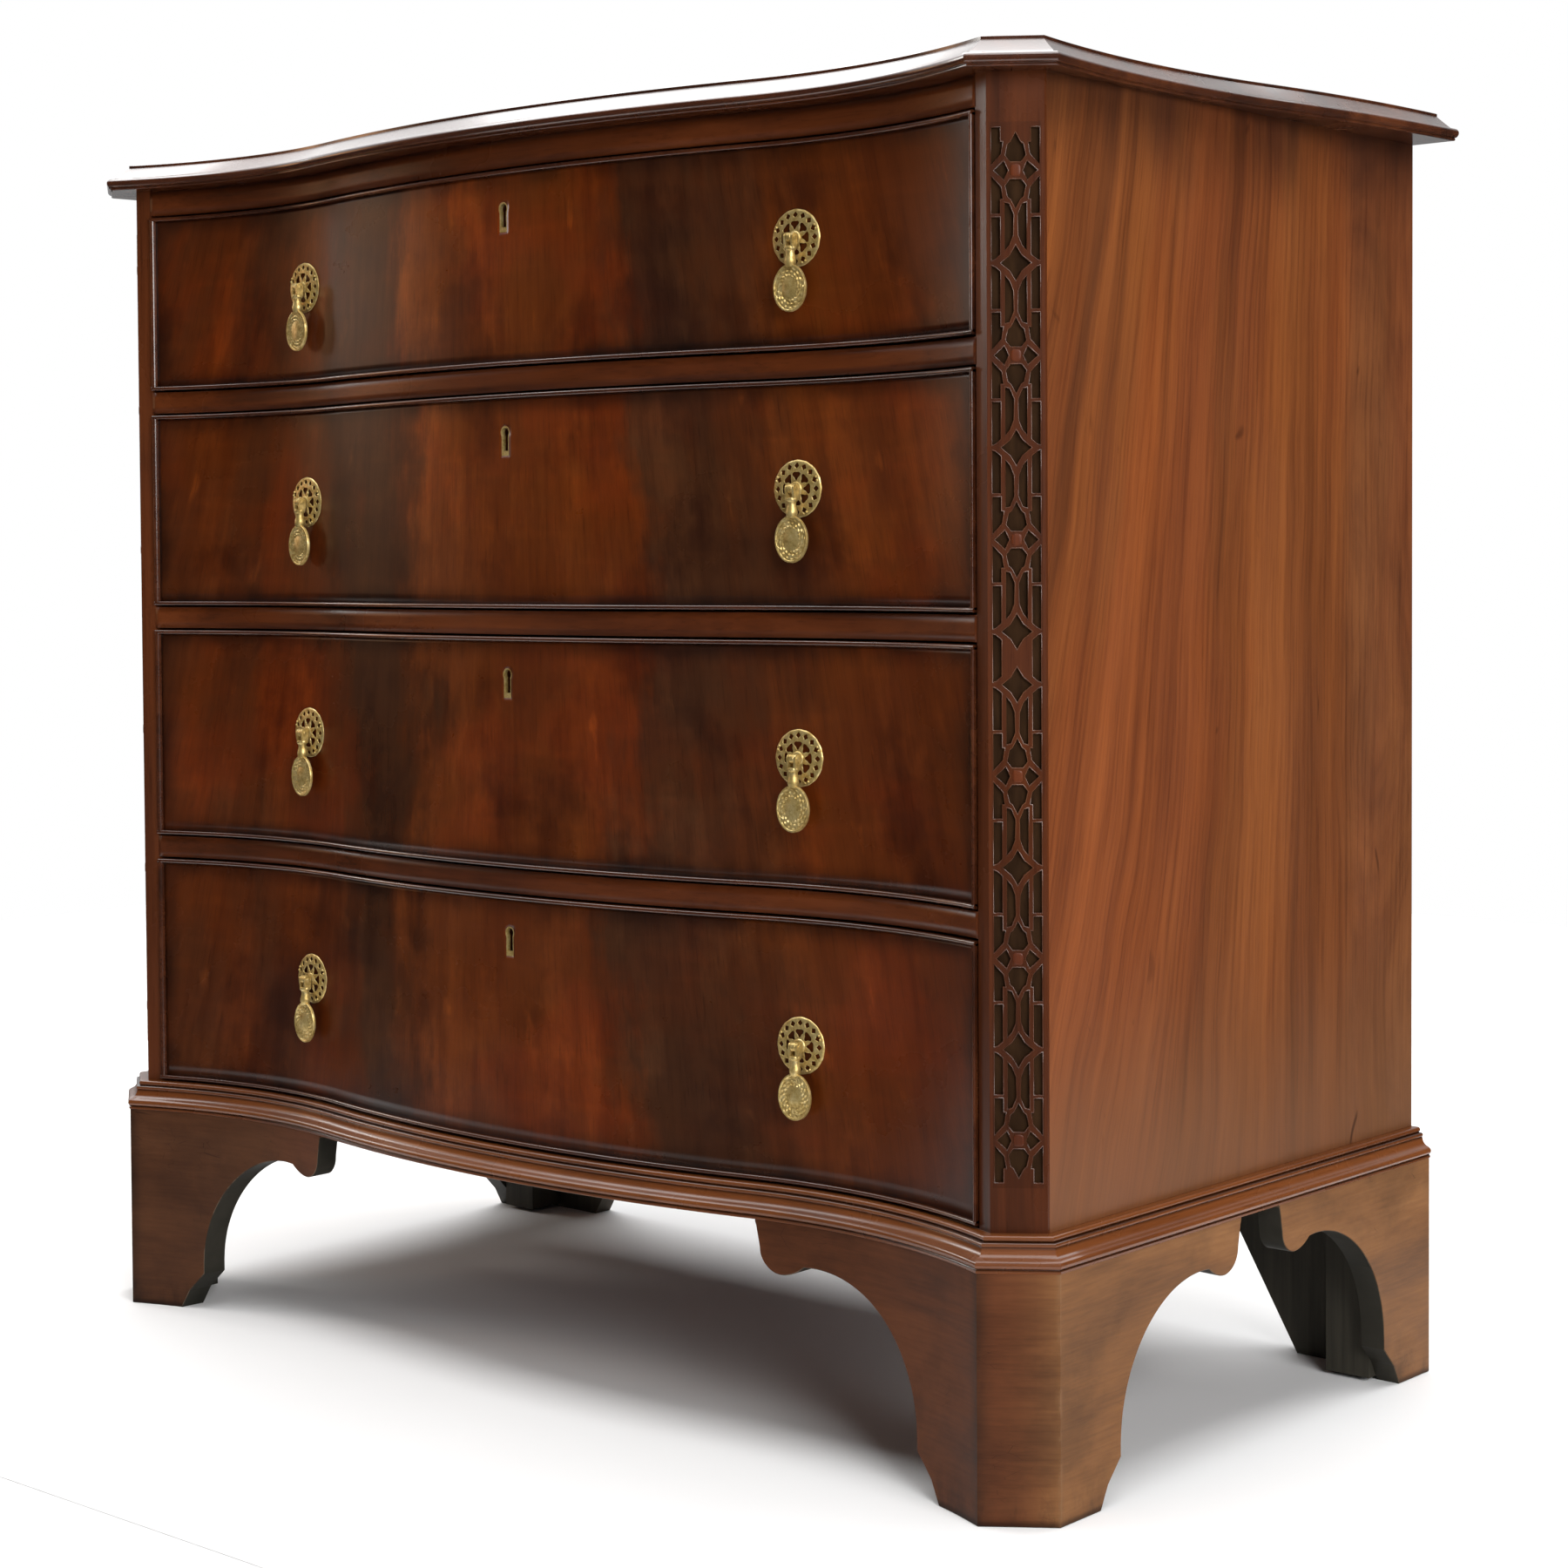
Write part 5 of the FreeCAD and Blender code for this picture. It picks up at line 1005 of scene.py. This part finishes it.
def add_medallion(shape):
    """The drop's oval plate: a smooth middle, a chased border, a fine rim and a plain swelling back."""
    half_wide, half_high, hang, face, swell = 12.5, 15, 32, 2.2, 1.8
    turn = full_turn(96)
    r = stations((0.08, 0.4, 5), (0.4, 0.5, 3), (0.5, 0.86, 10), (0.86, 0.98, 5), (0.98, 1, 2))[:, None]
    dome = 1.3 + 0.9 * np.clip(1 - (r / 0.46) ** 2, 0, None)
    field = np.clip((r - 0.44) / 0.08, 0, 1) * np.clip((0.91 - r) / 0.05, 0, 1)
    chased = 0.6 * field * np.sin(8 * turn + 9 * r) * np.cos(12 * turn - 30 * r)
    rim = 0.55 * np.sqrt(np.clip(1 - ((r - 0.95) / 0.05) ** 2, 0, None))
    back = np.linspace(1, 0.1, 10)[:, None]
    behind = np.broadcast_to(-0.3 - 1.5 * np.sqrt(1 - back ** 2), (len(back), len(turn)))
    wide = np.vstack([r, back])
    thick = np.vstack([dome + chased + rim, behind])
    x, z = half_wide * wide * np.cos(turn), half_high * wide * np.sin(turn) - hang
    loops = np.stack([x, -PIN_STAND - thick, z], axis=-1) * MM
    tip = np.array([0, -PIN_STAND, -hang])
    shape.shell(loops, (tip + (0, -face, 0)) * MM, (tip + (0, swell, 0)) * MM, flip=True)


def make_drop():
    """A drop: a fork on its pin, a collared neck and an oval medallion, about the middle of its rose."""
    shape = Shape()
    add_medallion(shape)
    pin = (0, -PIN_STAND, 0)
    neck = [(2.6, -5.4), (3.7, -5.8), (4.1, -6.8), (3.8, -7.8), (3, -8.4), (2.8, -9.6), (2.9, -11.2),
            (3.3, -12.8), (3.7, -14.2), (3.8, -15.6), (3.5, -17), (2.9, -18.6)]
    shape.turning(neck, "z", pin, 24, (-5.4, -18.8), flip=True)
    cheek = np.vstack([arc((0, 0), (3, 3), 0, 180, 13), [(-2.6, -7), (2.6, -7)]])
    for sides in ((2.05, 3.45), (-3.45, -2.05)):
        plates = [np.column_stack([np.full(len(cheek), x), cheek + (pin[1], 0)]) for x in sides]
        shape.tube(np.stack(plates, axis=1) * MM, flip=True)
    rivet = [(0.7, -4.1), (1.5, -3.9), (1.6, -3.4), (1.1, -3.4)]
    rivet += [(radius, -along) for radius, along in rivet[::-1]]
    return shape.turning(rivet, "x", pin, 16, (-4.15, 4.15), flip=True)


def rose_place(turn, radius, level):
    """A point of a rose in metres: turned clockwise from the top, out by radius and forward by level."""
    turn, radius, level = np.broadcast_arrays(turn, radius, level)
    return np.stack([radius * np.sin(turn), -level, radius * np.cos(turn)], axis=-1) * MM


def rose_face(radius):
    """How far the domed face of a rose stands forward, in millimetres, at a distance from its middle."""
    edge, swell = 1.6, 1.6
    return edge + swell * np.clip(1 - (radius / ROSE_RADIUS) ** 2, 0, None)


def rose_cells(shape, count, low, high, steps, size, lobes, depth):
    """A ring of cells, each with a lobed hole: loops close in on it, pass through and spread behind."""
    half, ring = math.pi / count, (low + high) / 2
    side, end = np.linspace(-1, 1, steps, endpoint=False), np.ones(steps)
    across = np.concatenate([side, end, -side, -end])
    up = np.concatenate([-end, side, end, -side])
    look = np.arctan2(up, across)
    reach = size * (1 + depth * np.cos(lobes * (look + np.pi / 2)))
    hole_turn, hole_radius = reach * np.cos(look) / ring, ring + reach * np.sin(look)
    edge_turn, edge_radius = half * across, ring + (high - low) / 2 * up
    share = np.array([1, 0.45, 0.1, 0, 0, 1])[:, None]
    turn = hole_turn + (edge_turn - hole_turn) * share
    radius = hole_radius + (edge_radius - hole_radius) * share
    level = rose_face(radius) - np.array([0, 0, 0.04, 0.2, ROSE_THICK, ROSE_THICK])[:, None]
    for cell in range(count):
        shape.grid(rose_place(turn + 2 * half * cell, radius, level), wrap_columns=True)


def make_rose():
    """A rose with its post and nut: a pierced dome, a scalloped rim, a boss, studs and an eye for the pin."""
    shape, middle = Shape(), (0, 0, 0)
    rose_cells(shape, 8, BOSS_EDGE, RING_EDGE, 8, 2.75, 3, 0.2)
    rose_cells(shape, 16, RING_EDGE, RIM_EDGE, 4, 1.75, 4, 0.16)
    turn = full_turn(64)
    rim = np.array([(RIM_EDGE, 0), (17.7, 0.12), (18.2, 0.4), (18.45, 0.75), (18.3, 1)])
    rim_radius, rim_drop = rim.T[:, :, None]
    scallop = 1 + 0.006 * np.cos(16 * turn) * (rim_radius > 17.5)
    lip = rose_place(turn, rim_radius * scallop, rose_face(rim_radius) - rim_drop)
    under = rose_place(turn, RIM_EDGE, rose_face(RIM_EDGE) - ROSE_THICK)
    shape.grid(np.vstack([lip, under[None]]), wrap_columns=True)
    boss_radius, boss_rise = np.array([(BOSS_EDGE, 0), (4.4, 0.25), (3.9, 0.65), (3.2, 0.9)]).T[:, :, None]
    boss = rose_place(turn, boss_radius, rose_face(boss_radius) + boss_rise)
    hollow = np.array([[3.2], [BOSS_EDGE]])
    behind = rose_place(turn, hollow, rose_face(hollow) - ROSE_THICK)
    shape.grid(boss, wrap_columns=True, flip=True).cap(boss[-1], boss[-1, 0] * (0, 1, 0), flip=True)
    shape.grid(behind, wrap_columns=True, flip=True).cap(behind[0], behind[0, 0] * (0, 1, 0))
    stud, stud_ring = [(0.9, 0.2), (0.85, -0.35), (0.6, -0.75), (0.3, -0.95)], 16.6
    for degrees in (63, 72, 153, 162, 198, 207, 288, 297):
        angle = math.radians(degrees)
        base = (stud_ring * math.sin(angle), -1.8, stud_ring * math.cos(angle))
        shape.turning(stud, "y", base, 10, (0.2, -1))
    shank = [(2.5, 15), (2.5, -3.6), (1.9, -4), (1.75, -5)]
    shape.turning(shank, "y", middle, 24, (15, -5))
    eye = [(1.17, -1.8), (2.9, -1.8), (3.1, -1.6), (3.1, 1.6), (2.9, 1.8), (1.17, 1.8)]
    shape.grid(turned(eye, "x", (0, -PIN_STAND, 0), 32), wrap_rows=True, wrap_columns=True, flip=True)
    return shape.turning([(6, 11), (6, 14.5)], "y", middle, 6, (11, 14.5), flip=True)


def make_pulls():
    """Drops and roses, turned square to the front and set at the middle of each drawer."""
    seat = float(front_y(PULL_X))
    for name, (low, high) in DRAWERS.items():
        roses = Shape()
        for word, sign in SIDES:
            drop = f"{name}_{word}_drop"
            placed = PULL_LEAN * sign, (PULL_X * sign, seat, (low + high) / 2 + PULL_RISE)
            make_drop().place(*placed).piece(f"{name}_{word}_pendant", brass, drop, "brass", 40, (drop,))
            roses.join(make_rose().place(*placed))
        roses.piece(f"{name}_roses", brass, drawer_body(name), "brass", 40, (f"{name}_pull_plates",))


make_top()
make_base()
make_rail_faces()
make_feet()
make_frets()
make_pulls()
for name, (low, high) in DRAWERS.items():
    make_veneer(name, low, high)
    make_beads(name, low, high)


def add_light(name, place, target, size, energy, colour=(1, 1, 1)):
    """A rectangular lamp at a place, turned to a target."""
    data = bpy.data.lights.new(name, "AREA")
    data.shape = "RECTANGLE"
    data.size, data.size_y = size
    data.energy = energy
    data.color = colour
    lamp = add_object(name, data)
    lamp.location = place
    lamp.rotation_euler = (Vector(target) - Vector(place)).to_track_quat("-Z", "Y").to_euler()


def pale_paper():
    """Floor paper, almost white, with a faint unevenness."""
    f = Finish("pale_paper", Roughness=0.9, Specular_IOR_Level=0)
    speck = f.noise(3, detail=3)
    f.feed(f.shader.inputs["Base Color"], f.ramp(speck, (0.3, (0.88, 0.88, 0.88)), (0.7, (0.9, 0.9, 0.9))))
    return f.material


def add_floor(name, low, high, level, mirrored):
    """A flat pale floor between two corners; gloss sees it only if it is mirrored."""
    plan = (low, (high[0], low[1]), high, (low[0], high[1]))
    mesh = bpy.data.meshes.new(name)
    mesh.from_pydata([(*corner, level) for corner in plan], [], [(0, 1, 2, 3)])
    floor = add_object(name, mesh)
    floor.visible_glossy = mirrored
    mesh.materials.append(pale_floor)


def make_room():
    """A white surround for the camera and a dim room for light, where gloss also sees two bright patches."""
    world = bpy.data.worlds.new("room")
    world.use_nodes = True
    bpy.context.scene.world = world
    room = Nodes(world.node_tree)
    direction = room.add("TexCoord").outputs["Generated"]
    path = room.add("LightPath").outputs

    def bright_patch(towards, start, full, value):
        """Brightness that rises as the direction nears the patch's middle."""
        near = room.add("VectorMath", {0: direction, 1: towards}, operation="DOT_PRODUCT")
        return room.span(near.outputs["Value"], start, full, 0.01, value)

    patches = room.maths("ADD", bright_patch((-0.55, 0.65, 0.5), 0.6, 0.9, 0.55),
                         bright_patch((-0.76, 0.12, 0.64), 0.8, 0.92, 1.15))
    lit = room.mix(path["Is Glossy Ray"], (0.05, 0.05, 0.05), patches)
    seen = room.mix(path["Is Camera Ray"], lit, (1, 1, 1))
    room.feed(world.node_tree.nodes["Background"].inputs["Color"], seen)


def make_camera():
    """A long view from the right and a little above the middle, level but for a slight tilt."""
    yaw, pitch, roll = (math.radians(angle) for angle in (41.22, 1.97, -0.35))
    place = (1.468, FRONT - 1.388, 0.574)
    data = bpy.data.cameras.new("camera")
    data.lens = 67.65
    data.sensor_width = 36
    data.shift_y = -0.0784
    camera = add_object("camera", data)
    turn = Euler((math.pi / 2 - pitch, 0, yaw)).to_matrix().to_4x4()
    camera.matrix_world = Matrix.Translation(place) @ turn @ Matrix.Rotation(roll, 4, "Z")
    bpy.context.scene.camera = camera


pale_floor = pale_paper()
add_floor("floor_near", (-0.9, -0.55), (0.9, 0.6), 0, True)
add_floor("floor_far", (-2.6, -2.6), (2.6, 2.6), -0.0004, False)
make_room()
add_light("overhead", (-0.7, 0.8, 4), (-0.7, 0.8, 0), (5.6, 5.6), 400)
add_light("key", (3.3, -1.4, 1.7), (0.44, 0, 0.5), (2, 1.8), 115)
add_light("left_softbox", (-2.3, -0.36, 1.3), (0.4, -0.2, 0.8), (0.3, 0.8), 7, (1, 0.97, 0.92))
add_light("warm_softbox", (-2.1, -1.05, 1), (-0.1, -0.2, 0.75), (0.3, 0.8), 2.2, (1, 0.52, 0.26))
make_camera()
bpy.context.scene.view_settings.view_transform = "Standard"
bpy.context.view_layer.update()
